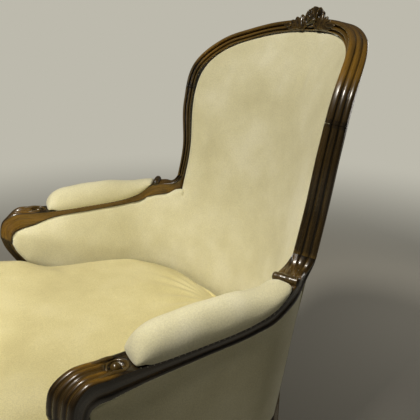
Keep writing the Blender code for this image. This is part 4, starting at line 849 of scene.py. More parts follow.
# %% Arm supports
SUPPORT_TUCK = 0.026
SUPPORT_SWEEP = 0.0525
SUPPORT_HALF = 0.0155
SUPPORT_DEPTH = 0.046
SUPPORT_SHARES = (
    (0.00, 0.000, 0.000, 1.698, 0.598, 1.0, 63.0, 27.0),
    (0.02, 0.095, 0.122, 1.620, 0.600, 1.0, 66.0, 26.0),
    (0.13, 0.286, 0.255, 1.470, 0.620, 1.0, 71.0, 22.0),
    (0.33, 0.520, 0.388, 1.323, 0.660, 1.0, 73.0, 15.0),
    (0.52, 0.750, 0.520, 1.194, 0.720, 0.9, 77.0, 10.0),
    (0.71, 0.920, 0.654, 1.097, 0.800, 0.8, 82.0, 5.0),
    (0.86, 0.990, 0.810, 1.032, 0.900, 0.6, 87.0, 1.0),
    (1.00, 1.000, 1.000, 1.000, 1.000, 0.5, 90.0, 0.0),
)
top = arm_start + np.array((ARM_SPREAD, -ARM_REACH, -ARM_DROP - 2.0 * GAP))
fall = top[2] - RAIL_TOP - GAP
support_rows = []
for tuck, sweep, drop, half, depth, reed, lean, turn in SUPPORT_SHARES:
    station = top + np.array((-tuck * SUPPORT_TUCK, sweep * SUPPORT_SWEEP, -drop * fall))
    support_rows.append((*station, half * SUPPORT_HALF, depth * SUPPORT_DEPTH, reed * REED_DEPTH, lean, turn))
rings = []
sections = []
for row in smooth_rows(support_rows, 70):
    across, show = arm_axes(row[6], row[7])
    section = reeded_section(row[3], row[4], row[4], row[5])
    rings.append(np.array([row[:3] + a * across + b * show for a, b, _ in section]))
    sections.append(section[:, :2])
loft("support_left", rings, sections, "arm_support_left")
loft("support_right", mirrored(rings), sections, "arm_support_right")
print("support height", round(fall, 3))

# %% [markdown]
# ## Front legs and seat rails
# The front legs are cabriole legs: a square block takes the rails, the knee swells outwards along the diagonal,
# and the ankle thins before a small scrolled foot. Each section is a square whose corners are more or less
# rounded. The rails have a bead along their lower edge, and the front one is bowed.

# %% Front legs
FRONT_LEG_ACROSS = 0.303
FRONT_LEG_FORWARD = 0.300
FRONT_BLOCK = 0.048
KNEE_THROW = 0.018
CABRIOLE_SHARES = ((1.0, 0.0, 1.0, 7.0), (0.94, 0.25, 1.07, 5.0), (0.86, 0.55, 1.12, 4.0), (0.76, 0.55, 1.0, 3.2),
                   (0.60, 0.1, 0.78, 3.0), (0.42, -0.4, 0.60, 2.8), (0.26, -0.5, 0.53, 2.6),
                   (0.13, -0.1, 0.54, 2.6), (0.05, 0.5, 0.72, 2.6), (0.0, 0.6, 0.70, 2.6))
diagonal = unit((1.0, -1.0))
keys = []
for height, throw, size, squareness in CABRIOLE_SHARES:
    centre = np.array((FRONT_LEG_ACROSS, PLAN_SHIFT - FRONT_LEG_FORWARD)) + throw * KNEE_THROW * diagonal
    keys.append((*centre, height * (RAIL_TOP - RAIL_HEIGHT), size * FRONT_BLOCK / 2.0, squareness))
block_top = (FRONT_LEG_ACROSS, PLAN_SHIFT - FRONT_LEG_FORWARD, RAIL_TOP, FRONT_BLOCK / 2.0, 12.0)
rings = []
for across, along, height, half, squareness in [block_top] + list(smooth_rows(keys, 70)):
    ring = []
    for turn in np.linspace(0.0, 2.0 * math.pi, 65)[:-1]:
        cosine, sine = math.cos(turn), math.sin(turn)
        reach = half / (abs(cosine) ** squareness + abs(sine) ** squareness) ** (1.0 / squareness)
        ring.append((across + reach * cosine, along + reach * sine, height))
    rings.append(np.array(ring))
loft("leg_left", rings, [ring[:, :2] for ring in rings], "front_leg_left")
loft("leg_right", mirrored(rings), [ring[:, :2] for ring in rings], "front_leg_right")
print("leg height", round(block_top[2], 3))

# %% Seat rails
RAIL_THICKNESS = 0.030
RAIL_BEAD = 0.002
FRONT_BOW = 0.028
APRON_DROP = 0.012
SIDE_RAIL_SHARES = ((0.55, 0.085), (0.86, 0.27), (1.0, 0.48), (1.04, 0.66), (1.0, 0.86))
SIDE_RAIL_ACROSS = 0.303


def rail_section(low, high, inner=None):
    """A seat rail: plain inside, with a bead and a quirk along its lower outer edge."""
    half = RAIL_THICKNESS / 2.0
    rise = high - low
    bead = refine([(half, low), (half + RAIL_BEAD, low + 0.05 * rise), (half + RAIL_BEAD, low + 0.14 * rise),
                   (half - RAIL_BEAD / 2.0, low + 0.19 * rise)], 12)
    face = refine([(half - RAIL_BEAD / 2.0, low + 0.22 * rise), (half - RAIL_BEAD / 2.0, high - 0.12 * rise),
                   (half, high - 0.06 * rise), (half - RAIL_BEAD, high)], 12)
    start = inner or [(-half, low)]
    return [*start, *bead, *face, (-half, high)]


def side_rail_line(count):
    """Middle line of the left side rail in plan, from the rear block to the front block."""
    start = origin + (REAR_BLOCK_OUTSET + GAP) * outward - REAR_BLOCK / 2.0 * normal
    rear_end = PLAN_SHIFT - FRONT_LEG_FORWARD + FRONT_BLOCK / 2.0 + GAP
    keys = [(start[0], start[1])]
    for out, on in SIDE_RAIL_SHARES:
        keys.append((start[0] + out * (SIDE_RAIL_ACROSS - start[0]), start[1] + on * (rear_end - start[1])))
    keys.append((SIDE_RAIL_ACROSS, rear_end))
    return smooth_rows(np.column_stack([keys, np.zeros(len(keys))]), count)[:, :2]


origin, outward, normal = seat_frame()
line = side_rail_line(50)
aways = [unit((-tangent[1], tangent[0])) for tangent in np.gradient(line, axis=0)]
aways[0] = -normal[:2]
aways[-1] = np.array((1.0, 0.0))
section = rail_section(RAIL_TOP - RAIL_HEIGHT, RAIL_TOP)
rings = [np.array([(*(place + out * away), height) for out, height in section]) for place, away in zip(line, aways)]
loft("side_rail_shown_left", rings, [section] * 50, "side_rail_left")
loft("side_rail_shown_right", mirrored(rings), [section] * 50, "side_rail_right")

half = FRONT_LEG_ACROSS - FRONT_BLOCK / 2.0 - GAP
rings = []
for across in np.linspace(-half, half, 70):
    wave = math.cos(math.pi * across / (2.0 * half)) ** 2
    low = RAIL_TOP - RAIL_HEIGHT - SHOULDER_STEP - APRON_DROP * wave
    rebate = [(-RAIL_THICKNESS / 2.0, RAIL_TOP - RAIL_HEIGHT), (0.0, RAIL_TOP - RAIL_HEIGHT), (0.0, low)]
    middle = PLAN_SHIFT - FRONT_LEG_FORWARD - FRONT_BOW * wave
    rings.append(np.array([(across, middle - out, height) for out, height in rail_section(low, RAIL_TOP, rebate)]))
loft("front_rail_shown", rings, [ring[:, 1:] for ring in rings], "front_rail")
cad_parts["rear_rail"].data.materials[0] = walnut_across
print("rails", len(rings), "stations in front")

# %% [markdown]
# ## Carved flower
# A full rose sits on the middle of the crest. It is one ball whose surface is carved into petals that lie over
# each other. Six leaves stand round it, and a spray of leaves follows the moulding on both sides. Each leaf is a
# ball that is flattened, cupped and leaned, and the whole group is one piece of carving.

# %% Flower and leaves
FLOWER_RADIUS = 0.0215
LEAF_LENGTH = 0.036
LEAF_WIDTH = 0.015
PETAL_STEP = 0.50
PETAL_WAVE = 0.45
PETAL_RELIEF = 0.20
PETAL_LOBES = 2.5
PETAL_TWIST = 1.3
PETAL_LIP = 0.16
ROSE_BODY = 0.86
ROSE_DEPTH = 0.85
HOLLOW_DEPTH = 0.30
HOLLOW_REACH = 0.30
BUD_HEIGHT = 0.16
BUD_REACH = 0.10
STANDING_LEAVES = ((0.72, 0.42, 0.40, 0.95), (1.00, 0.40, 0.90, 0.95), (1.28, 0.38, 1.7, 0.90))
LEAF_SPRAY = ((0.62, 0.72, 0.30, 1.0), (0.85, 0.30, -0.20, 0.95), (1.25, 0.66, 0.15, 0.9), (1.55, 0.34, -0.25, 0.8),
              (1.95, 0.55, -0.05, 0.7))


def lobe(form, middle, long_axis, out_axis, sizes, cup):
    """A leaf: a flattened ball whose rim is bent up by the cup and whose middle line is sunk."""
    made = bmesh.ops.create_uvsphere(form, u_segments=24, v_segments=14, radius=1.0)["verts"]
    side_axis = np.cross(out_axis, long_axis)
    for corner in made:
        x, y, z = corner.co
        lift = cup * (x * x + 0.6 * y * y) - 0.25 * math.exp(-(y / 0.16) ** 2) * max(0.0, z)
        corner.co = Vector(middle + sizes[0] * x * long_axis + sizes[1] * y * (1.0 - 0.35 * x) * side_axis
                           + sizes[2] * (z + lift) * out_axis)
    return made


def crest_spot(across, share):
    """A place on the crest's face: a share of its width above the sight line."""
    top_rows = half_rows[half_rows[:, 1] > 0.85 * SIGHT_RISE]
    rise = float(np.interp(abs(across), top_rows[::-1, 0], top_rows[::-1, 1]))
    return back_place(across, rise) + share * CREST_FACE * above + FACE_RELIEF * back_normal(across)


normal = back_normal(0.0)
above = unit(np.cross((-1.0, 0.0, 0.0), normal))
beside = np.array((1.0, 0.0, 0.0))
axis = unit(normal + 0.35 * above)
rise_axis = np.cross(axis, beside)
head = back_place(0.0, SIGHT_RISE) + (CREST_FACE + 0.05 * FLOWER_RADIUS) * above - 0.05 * CREST_DEPTH * normal
form = bmesh.new()
rose = bmesh.ops.create_uvsphere(form, u_segments=120, v_segments=90, radius=1.0)["verts"]
for corner in rose:
    polar = math.acos(max(-1.0, min(1.0, corner.co.z)))
    turn = math.atan2(corner.co.y, corner.co.x)
    ring = polar / PETAL_STEP + PETAL_WAVE * abs(math.cos(PETAL_LOBES * turn + PETAL_TWIST * polar / PETAL_STEP))
    share = ring - math.floor(ring)
    lip = min(1.0, share / PETAL_LIP) * (1.0 - share) ** 0.7
    hollow = (HOLLOW_DEPTH * math.exp(-(polar / HOLLOW_REACH) ** 2)
              - BUD_HEIGHT * math.exp(-(polar / BUD_REACH) ** 2))
    size = FLOWER_RADIUS * (ROSE_BODY + PETAL_RELIEF * lip - hollow)
    corner.co = Vector(head + size * (corner.co.x * beside + corner.co.y * rise_axis
                                      + ROSE_DEPTH * corner.co.z * axis))
for reach, share, lean, size in LEAF_SPRAY:
    for side in (-1.0, 1.0):
        across = side * reach * LEAF_LENGTH
        spoke = unit(side * beside + lean * above)
        lobe(form, crest_spot(across, share), spoke, back_normal(across),
             (0.5 * size * LEAF_LENGTH, 0.5 * size * LEAF_WIDTH, 0.24 * LEAF_WIDTH), 0.35)
for across, share, lean, size in STANDING_LEAVES:
    for side in (-1.0, 1.0):
        spoke = unit(side * lean * beside + above)
        facing = np.cross(np.cross(spoke, normal - 0.25 * side * beside), spoke)
        middle = crest_spot(side * across * LEAF_LENGTH, share) + 0.22 * size * LEAF_LENGTH * spoke
        lobe(form, middle, spoke, unit(facing), (0.42 * size * LEAF_LENGTH, 0.62 * size * LEAF_WIDTH,
                                                 0.32 * LEAF_WIDTH), 0.3)
bmesh.ops.recalc_face_normals(form, faces=form.faces)
carving = add_piece("crest_flower", form, walnut_upright)
print("carving faces", len(carving.data.polygons))

# %% [markdown]
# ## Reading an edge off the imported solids
# Cords and stitches follow the edges of the covers. Instead of drawing those lines again, a helper cuts a CAD
# solid with planes and keeps the furthest point of each cut in a given direction.

# %% Edge tracing


def merged(node):
    """A welded bmesh copy of a CAD node with its triangles joined back to quads."""
    form = bmesh.new()
    form.from_mesh(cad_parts[node].data)
    bmesh.ops.remove_doubles(form, verts=form.verts, dist=0.00002)
    bmesh.ops.join_triangles(form, faces=form.faces, angle_face_threshold=math.radians(50.0),
                             angle_shape_threshold=math.radians(70.0))
    return form


def trace(node, axis, stations, direction):
    """For each plane square to the axis, the cut's furthest place in the direction."""
    form = merged(node)
    square = Vector([float(index == axis) for index in range(3)])
    places = []
    for station in stations:
        cut = form.copy()
        parts = bmesh.ops.bisect_plane(cut, geom=cut.verts[:] + cut.edges[:] + cut.faces[:],
                                       plane_co=square * station, plane_no=square)["geom_cut"]
        corners = [part.co.copy() for part in parts if isinstance(part, bmesh.types.BMVert)]
        if corners:
            places.append(np.array(max(corners, key=lambda place: place.dot(Vector(direction)))))
        cut.free()
    form.free()
    return np.array(places)


print("an edge place", np.round(trace("outside_arm_left", 1, (0.0,), (0.2, 0.0, 1.0))[0], 3))

# %% [markdown]
# ## Stuffed pieces
# A stuffed piece starts as a welded copy of its CAD solid. Where a rim is tacked down, its edges are creased, so
# a subdivision surface keeps them crisp while the padding between them turns smooth. A cloth simulation with
# pressure inside then does what horsehair does: it pushes the cover out until the weave holds it. The points
# that are tacked stay put, and no point may move further than the given reach.

# %% Stuffing helpers
CLOTH_FRAMES = 20
COVER_INSET = 0.003
COVER_BITE = 0.001
EDGE_REACH = 0.055
HOLD_REACH = 0.05
OUTER_EDGE_SHARES = (0.99, 0.17)
INNER_EDGE_SHARES = (0.99, 0.07)


def stuffed_copy(name, node, material, body, levels, crease, ends=0.0):
    """A subdivided copy of a CAD solid whose sharp rim edges are creased, but not within ends of its two ends."""
    form = merged(node)
    bmesh.ops.recalc_face_normals(form, faces=form.faces)
    hold = form.edges.layers.float.new("crease_edge")
    low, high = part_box(node)
    for edge in form.edges:
        middle = (edge.verts[0].co.y + edge.verts[1].co.y) / 2.0
        tacked = low.y + ends <= middle <= high.y - ends
        if tacked and len(edge.link_faces) == 2 and edge.calc_face_angle() > math.radians(40.0):
            edge[hold] = crease
    piece = add_piece(name, form, material, body, 60.0)
    if body:
        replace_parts(piece, node)
    subdivide(piece, levels)
    bake(piece)
    return piece


def subdivide(piece, levels):
    """Adds a subdivision surface to the piece."""
    smooth = piece.modifiers.new("smooth", "SUBSURF")
    smooth.levels = smooth.render_levels = levels


def bake(piece):
    """Turns the piece's modifiers into its mesh."""
    bpy.context.view_layer.update()
    graph = bpy.context.evaluated_depsgraph_get()
    mesh = bpy.data.meshes.new_from_object(piece.evaluated_get(graph))
    piece.modifiers.clear()
    piece.data = mesh
    mesh.shade_smooth()


def read_places(mesh, kind="co"):
    """The place of each vertex, or its normal, as rows of an array."""
    flat = np.zeros(len(mesh.vertices) * 3)
    mesh.vertices.foreach_get(kind, flat)
    return flat.reshape(-1, 3)


def write_places(mesh, places):
    """Moves each vertex to its row of the array."""
    mesh.vertices.foreach_set("co", np.ascontiguousarray(places).ravel())
    mesh.update()


def stuff(piece, pressure, reach, held=None, stiffness=12.0):
    """Swells a piece as cloth with air inside; held gives each point a share from 0, free, to 1, tacked."""
    before = read_places(piece.data)
    cloth = piece.modifiers.new("stuffing", "CLOTH")
    settings = cloth.settings
    settings.quality = 4
    settings.mass = 0.25
    settings.tension_stiffness = settings.compression_stiffness = stiffness
    settings.bending_stiffness = 0.6
    settings.use_pressure = True
    settings.uniform_pressure_force = pressure
    settings.effector_weights.gravity = 0.0
    cloth.collision_settings.use_collision = False
    if held is not None:
        group = piece.vertex_groups.new(name="tacked")
        for index, share in enumerate(held):
            group.add([index], float(share), "REPLACE")
        settings.vertex_group_mass = "tacked"
    cloth.point_cache.frame_start = 1
    cloth.point_cache.frame_end = CLOTH_FRAMES
    for number in range(1, CLOTH_FRAMES + 1):
        scene.frame_set(number)
    graph = bpy.context.evaluated_depsgraph_get()
    after = read_places(piece.evaluated_get(graph).data)
    piece.modifiers.remove(cloth)
    piece.vertex_groups.clear()
    scene.frame_set(1)
    moves = after - before
    lengths = np.linalg.norm(moves, axis=1, keepdims=True)
    moves = moves * np.minimum(1.0, reach / np.maximum(lengths, 1e-9))
    if held is not None:
        moves = moves * (1.0 - np.asarray(held)[:, None])
    write_places(piece.data, before + moves)
    print(piece.name, "swelled by up to", round(float(np.linalg.norm(moves, axis=1).max()) * 1000.0, 1), "mm")


def wood_line(outer, first, last):
    """Places just inside the wood where the left arm's cover meets support and arm, from the rail to the arm."""
    places = []
    rows = [(row[3], row[4], row[6], row[7], row[:3]) for row in smooth_rows(support_rows, 40)[::-1]]
    for share in np.linspace(first, last, 60):
        row = arm_station(share)
        rows.append((row[3], row[4] if outer else row[5], row[8], row[9], row[:3]))
    for half, depth, lean, turn, middle in rows:
        across, show = arm_axes(lean, turn)
        side = 1.0 if outer else -1.0
        places.append(middle - (depth - COVER_BITE) * show + side * (half - COVER_INSET) * across)
    return np.array(places)


def drawn_to(places, line, reach):
    """Pulls the edge of a cover to a line; the pull fades away over the reach."""
    rims = places[[int(np.argmin(np.linalg.norm(places - target, axis=1))) for target in line]]
    pulls = line - rims
    moved = places.copy()
    for index, place in enumerate(places):
        away = np.linalg.norm(rims - place, axis=1)
        closest = int(np.argmin(away))
        moved[index] += pulls[closest] * max(0.0, 1.0 - away[closest] / reach)
    return moved


def ripple(places, waves):
    """A slow, irregular unevenness: a few sine waves in different directions, each with its length and height."""
    total = np.zeros(len(places))
    for direction, length, height, phase in waves:
        total += height * np.sin(places @ unit(direction) * (2.0 * math.pi / length) + phase)
    return total


def uneven(piece, rest, towards, held, waves):
    """The piece's places, moved in and out by a ripple wherever they aren't held."""
    return read_places(piece.data) + (ripple(rest, waves) * (1.0 - held))[:, None] * towards


def rim_hold(room, start):
    """How firmly each point is held: 1 up to the start, then less and less over HOLD_REACH."""
    return np.clip(1.0 - (room - start) / HOLD_REACH, 0.0, 1.0)


print("stuffing helpers ready")

# %% [markdown]
# ## Inside back
# The inside back is one taut cover over a hair pad. It is tacked into the rebate of the frame all round, so its
# rim is held and only the middle swells. Hand work is never quite even, which a millimetre of ripple shows.

# %% Inside back
back = stuffed_copy("inside_cover", "inside_back", muslin, None, levels=2, crease=0.9)
rest = read_places(back.data)
towards = read_places(back.data, "normal")
rises = (rest[:, 2] - ARM_LEVEL) / math.cos(BACK_RAKE)
turns = np.arctan2(rest[:, 0], rest[:, 1] - (PLAN_SHIFT + BACK_SETBACK + rises * math.sin(BACK_RAKE) - BACK_RADIUS))
arcs = turns * BACK_RADIUS
edges_at = np.array([sight_across(rise) for rise in rises])
inset = np.minimum(edges_at - np.abs(arcs), 0.97 * (SIGHT_RISE - rises))
facing = -(towards[:, 0] * np.sin(turns) + towards[:, 1] * np.cos(turns))
held = rim_hold(inset, 0.006)
held[facing < 0.2] = 1.0
stuff(back, pressure=3.0, reach=0.005, held=held)
waves = (((1.0, 0.2, 0.3), 0.13, 0.0005, 0.4), ((0.3, 0.0, 1.0), 0.17, 0.0006, 1.7),
         ((0.8, 0.1, -0.9), 0.071, 0.00025, 2.9))
write_places(back.data, uneven(back, rest, towards, held, waves))
print("back cover points", len(rest))

# %% [markdown]
# ## Inside arms
# The arm walls are stuffed more thinly than the back. They are held along the arm above, the seat rail below
# and the support in front, and run into the back's cover behind.

# %% Inside arms
JUNCTION_TUCK = 0.012
TUCK_REACH = 0.028


def tucked(places, sign):
    """Pushes the rear edge of an arm's cover a little way into the back's stuffing."""
    moved = places.copy()
    for index, place in enumerate(places):
        rise = min(rise_at(place[2]), ARM_JOINT_RISE)
        turn = sight_across(rise) / BACK_RADIUS
        origin = back_place(sight_across(rise), rise) * np.array((sign, 1.0, 1.0))
        inward = np.array((-sign * math.cos(turn), math.sin(turn), 0.0))
        gap = float((origin - place) @ inward)
        moved[index] += JUNCTION_TUCK * min(1.0, max(0.0, 1.0 - gap / TUCK_REACH)) * inward
    return moved


walls = []
for side, sign in (("left", 1.0), ("right", -1.0)):
    wall = stuffed_copy("arm_wall_" + side, "inside_arm_" + side, muslin, None, levels=2, crease=0.9)
    walls.append(wall)
    rest = read_places(wall.data)
    towards = read_places(wall.data, "normal")
    low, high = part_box("inside_arm_" + side)
    room = np.minimum.reduce([rest[:, 2] - low.z, high.z - rest[:, 2], high.y - rest[:, 1],
                              rest[:, 1] - low.y - 0.03])
    held = rim_hold(room, 0.004)
    held[towards[:, 0] * sign > -0.2] = 1.0
    stuff(wall, pressure=2.0, reach=0.004, held=held)
    waves = (((0.0, 1.0, 0.3), 0.11, 0.0005, sign), ((0.0, 0.3, 1.0), 0.08, 0.0004, 1.7))
    swelled = uneven(wall, rest, towards, held, waves)
    edge = np.vstack([wood_line(False, *INNER_EDGE_SHARES), [back_place(sight_across(0.0), 0.0)]])
    swelled = drawn_to(swelled, edge * np.array((sign, 1.0, 1.0)), EDGE_REACH)
    write_places(wall.data, tucked(swelled, sign))
print("arm walls done")

# %% [markdown]
# The three covers are sewn to each other, and the stuffing fills the corner between them. So they become one
# piece by a boolean union, and the corner is smoothed in ever narrower strips until no seam shows.

# %% One cover inside the chair
JUNCTION_PASSES = ((0.110, 30), (0.080, 30), (0.055, 24), (0.035, 20))
CORNER_FILL = 0.013
CORNER_REACH = 0.075
FILL_FOOT = 0.44
START_LIFT = 0.010
START_REACH = 0.032
JUNCTION_TOP = ARM_LEVEL - 0.014
junction = np.array([back_place(sight_across(rise), rise)
                     for rise in np.linspace(seat_rise + 0.01, rise_at(JUNCTION_TOP) - 0.02, 40)])
for wall in walls:
    union = back.modifiers.new("sewn", "BOOLEAN")
    union.operation = "UNION"
    union.solver = "EXACT"
    union.object = wall
    bake(back)
    bpy.data.objects.remove(wall)
form = bmesh.new()
form.from_mesh(back.data)
bmesh.ops.triangulate(form, faces=[face for face in form.faces if len(face.verts) > 4])
places = np.array([(abs(corner.co.x), corner.co.y, corner.co.z) for corner in form.verts])
away = np.linalg.norm(places[:, None, :] - junction[None], axis=2).min(axis=1)
form.normal_update()
for corner, distance in zip(form.verts, away):
    inward = Vector((-math.copysign(0.75, corner.co.x), -0.66, 0.0))
    level = min(1.0, max(0.0, (corner.co.z - FILL_FOOT) / 0.05)) * min(1.0, max(0.0, (ARM_LEVEL - corner.co.z) / 0.06))
    if corner.normal.dot(inward) > 0.2:
        corner.co += CORNER_FILL * level * math.exp(-(distance / CORNER_REACH) ** 2) * inward
for corner in form.verts:
    reach = math.hypot(abs(corner.co.x) - junction[-1][0], corner.co.y - junction[-1][1])
    near_top = min(1.0, max(0.0, (corner.co.z - JUNCTION_TOP + 0.035) / 0.025))
    if corner.co.z < ARM_LEVEL + 0.004:
        corner.co.z += START_LIFT * near_top * math.exp(-(reach / START_REACH) ** 2)
for reach, passes in JUNCTION_PASSES:
    chosen = [corner for corner, distance in zip(form.verts, away)
              if distance < reach and corner.co.z < JUNCTION_TOP]
    for _ in range(passes):
        bmesh.ops.smooth_vert(form, verts=chosen, factor=0.5, use_axis_x=True, use_axis_y=True, use_axis_z=True)
form.to_mesh(back.data)
open_edges = sum(not edge.is_manifold for edge in form.edges)
form.free()
back.data.shade_smooth()
back.data.set_sharp_from_angle(angle=math.radians(60.0))
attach(back, "chair")
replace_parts(back, "inside_back", "inside_arm_left", "inside_arm_right")
print("inside cover faces", len(back.data.polygons), "open edges", open_edges)

# %% [markdown]
# ## Arm pads
# Each pad is a loaf of hair under a tight muslin cover, tacked along both sides of the arm. The top is full and
# the ends are pulled down, and the simulation rounds off what the lofted solid leaves stiff.

# %% Arm pads
for side in ("left", "right"):
    pad = stuffed_copy("pad_" + side, "arm_pad_" + side, muslin, "chair", levels=2, crease=0.6,
                       ends=0.018)
    rest = read_places(pad.data)
    towards = read_places(pad.data, "normal")
    held = np.clip((0.35 - towards[:, 2]) / 0.3, 0.0, 1.0)
    stuff(pad, pressure=2.5, reach=0.0025, held=held)
    waves = (((0.2, 1.0, 0.3), 0.06, 0.0005, 0.3), ((1.0, 0.3, 0.6), 0.034, 0.0003, 2.1))
    write_places(pad.data, uneven(pad, rest, towards, held, waves))
print("pads done")

# %% [markdown]
# ## Outside covers
# The outer covers are single sheets of muslin, stretched flat between the frame members with nothing behind
# them. Their area is measured as it lies, because they are cut to fit the opening.

# %% Outside back and arms


def stretched_cover(name, node):
    """An outside cover, with the area of one of its faces and the size of its box."""
    cover = stuffed_copy(name, node, muslin, "chair", levels=2, crease=0.9)
    form = bmesh.new()
    form.from_mesh(cover.data)
    area = sum(face.calc_area() for face in form.faces) / 2.0
    form.free()
    low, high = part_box(node)
    return cover, area, high - low


cover, area, span = stretched_cover("rear_cover", "outside_back")
print("outside back", round(area, 4), "m2")
for side in ("left", "right"):
    cover, area, span = stretched_cover("outer_wall_" + side, "outside_arm_" + side)
    edge = wood_line(True, *OUTER_EDGE_SHARES) * np.array((1.0 if side == "left" else -1.0, 1.0, 1.0))
    write_places(cover.data, drawn_to(read_places(cover.data), edge, EDGE_REACH))
    print("outside arm", round(area, 4), "m2")

# %% [markdown]
# ## Seat deck, webbing and springs
# Under the cushion lies a deck of hessian over stuffing. Below it nine hourglass springs stand on jute webbing,
# laced over and under and tacked beneath the rails. All of this shows only from below.

# %% Deck
deck = stuffed_copy("deck_cover", "seat_deck", hessian, "chair", levels=2, crease=0.85)
print("deck faces", len(deck.data.polygons))

# %% Webbing
WEB_WIDTH = 0.052
WEB_THICKNESS = 0.0015
WEB_PITCH = 0.105
WEB_BANDS = 4
SPRING_FORWARD_SHARE = 0.45
web_top = RAIL_TOP - RAIL_HEIGHT - GAP


def web_band(name, places, sideways):
    """A flat band: a thin section carried along its line."""
    half = WEB_WIDTH / 2.0
    section = [(-half, 0.0), (-half, -0.8 * WEB_THICKNESS), (half, -0.8 * WEB_THICKNESS), (half, 0.0)]
    rings = [np.array([place + u * sideways + v * np.array((0.0, 0.0, 1.0)) for u, v in section])
             for place in places]
    form = bmesh.new()
    loft_into(form, rings, [section] * len(rings))
    band = add_piece(name, form, jute, "chair")
    return band


bands = []
for index in range(WEB_BANDS):
    middle = PLAN_SHIFT + (index - (WEB_BANDS - 1) / 2.0 - SPRING_FORWARD_SHARE) * WEB_PITCH
    reach = trace("seat_webbing", 1, (middle,), (1.0, 0.0, 0.0))[0][0]
    over = -0.85 * WEB_THICKNESS if index % 2 else 0.0
    places = [np.array((x, middle, web_top + min(0.0, over * abs(math.cos(math.pi * x / WEB_PITCH)))))
              for x in np.linspace(-reach, reach, 60)]
    bands.append(web_band("web_across_" + str(index + 1), np.array(places), np.array((0.0, 1.0, 0.0))))
for index in range(WEB_BANDS):
    middle = (index - (WEB_BANDS - 1) / 2.0) * WEB_PITCH
    front = trace("seat_webbing", 0, (middle,), (0.0, -1.0, 0.0))[0][1]
    rear = trace("seat_webbing", 0, (middle,), (0.0, 1.0, 0.0))[0][1]
    level = web_top - 1.75 * WEB_THICKNESS
    places = [np.array((middle, y, level)) for y in np.linspace(front, rear, 60)]
    bands.append(web_band("web_forward_" + str(index + 1), np.array(places), np.array((1.0, 0.0, 0.0))))
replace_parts(bands[0], "seat_webbing")
print("bands", len(bands))

# %% Springs
SPRING_ROWS = 3
SPRING_PITCH = 0.140
SPRING_RADIUS = 0.032
SPRING_WIRE = 0.0022
SPRING_TURNS = 3
SPRING_WAIST_SHARE = 0.35
DECK_THICKNESS = 0.020
low = RAIL_TOP - RAIL_HEIGHT + GAP
high = RAIL_TOP - DECK_THICKNESS - GAP
for index in range(SPRING_ROWS ** 2):
    column, row = index % SPRING_ROWS - 1.0, index // SPRING_ROWS - 1.0
    places = []
    for share in np.linspace(0.0, 1.0, SPRING_TURNS * 24 + 1):
        radius = SPRING_RADIUS * (1.0 - SPRING_WAIST_SHARE * math.sin(math.pi * share))
        turn = 2.0 * math.pi * SPRING_TURNS * share
        places.append((column * SPRING_PITCH + radius * math.cos(turn),
                       PLAN_SHIFT + (row - SPRING_FORWARD_SHARE) * SPRING_PITCH + radius * math.sin(turn),
                       low + SPRING_WIRE + (high - low - 2.0 * SPRING_WIRE) * share))
    form = bmesh.new()
    loft_into(form, tube_rings(places, [SPRING_WIRE] * len(places), 8))
    coil = add_piece("coil_" + str(index + 1), form, steel, "chair")
    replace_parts(coil, "seat_spring_" + str(index + 1))
for node in ("back_bottom_rail", "arm_tack_rail_left", "arm_tack_rail_right", "front_corner_block_left",
             "front_corner_block_right", "rear_corner_block_left", "rear_corner_block_right"):
    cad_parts[node].data.materials[0] = beech
print("springs", SPRING_ROWS ** 2)

# %% [markdown]
# ## Loose cushion
# The cushion is a feather case that fills the seat between back and arms. It is flat below, where it rests on
# the deck, crowned above and drawn in at its sides. The cloth simulation swells it from a slightly smaller
# start. Its rear dips where it is squeezed against the back, and fine folds fan out from there.

# %% Cushion
CUSHION_VOXEL = 0.006
REAR_DIP = 0.042
DIP_REACH = 0.080
EAR_FILL = 0.012
FOLD_CENTRE = (0.015, 0.158)
FOLD_COUNT = 21.0
FOLD_REACH = 0.100
FOLD_HEIGHT = 0.0022
FOLD_WIDTH = 0.06
DIP_SIDE = -0.21
DIP_SPAN = 0.23
EAR_ACROSS = 0.25
EAR_WIDTH = 0.07
EAR_SPAN = 0.22
START_SHRINK = 0.002


def cushion_piece():
    """The cushion's solid with an even mesh, ready to be swelled."""
    form = merged("seat_cushion")
    bmesh.ops.recalc_face_normals(form, faces=form.faces)
    piece = add_piece("loose_cushion", form, cotton, "cushion", 60.0)
    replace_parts(piece, "seat_cushion")
    subdivide(piece, 1)
    remesh = piece.modifiers.new("even", "REMESH")
    remesh.mode = "VOXEL"
    remesh.voxel_size = CUSHION_VOXEL
    bake(piece)
    return piece


cushion = cushion_piece()
rest = read_places(cushion.data)
towards = read_places(cushion.data, "normal")
write_places(cushion.data, rest - START_SHRINK * towards)
held = np.clip((-0.2 - towards[:, 2]) / 0.3, 0.0, 1.0)
stuff(cushion, pressure=4.0, reach=0.006, held=held, stiffness=8.0)
filled = read_places(cushion.data)
flat = filled[:, :2] - np.array(FOLD_CENTRE)
reach = np.linalg.norm(flat, axis=1)
bearing = np.arctan2(flat[:, 1], flat[:, 0])
upper = np.clip(2.0 * towards[:, 2], 0.0, 1.0)
folds = np.sin(FOLD_COUNT * bearing + 1.3 * np.sin(5.0 * bearing))
folds = folds * np.exp(-((reach - FOLD_REACH) / FOLD_WIDTH) ** 2)
low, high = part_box("seat_cushion")
rear_room = (high.y - (filled[:, 0] ** 2) / (2.0 * BACK_RADIUS)) - filled[:, 1]
dipping = np.clip((filled[:, 0] - DIP_SIDE) / DIP_SPAN, 0.0, 1.0)
dipping = dipping * dipping * (3.0 - 2.0 * dipping) * np.exp(-(np.maximum(rear_room, 0.0) / DIP_REACH) ** 2)
ears = np.exp(-((np.abs(filled[:, 0]) - EAR_ACROSS) / EAR_WIDTH) ** 2)
ears = ears * np.clip(-filled[:, 1] / EAR_SPAN, 0.0, 1.0)
filled[:, 2] += upper * (FOLD_HEIGHT * folds - REAR_DIP * dipping + EAR_FILL * ears)
write_places(cushion.data, filled)
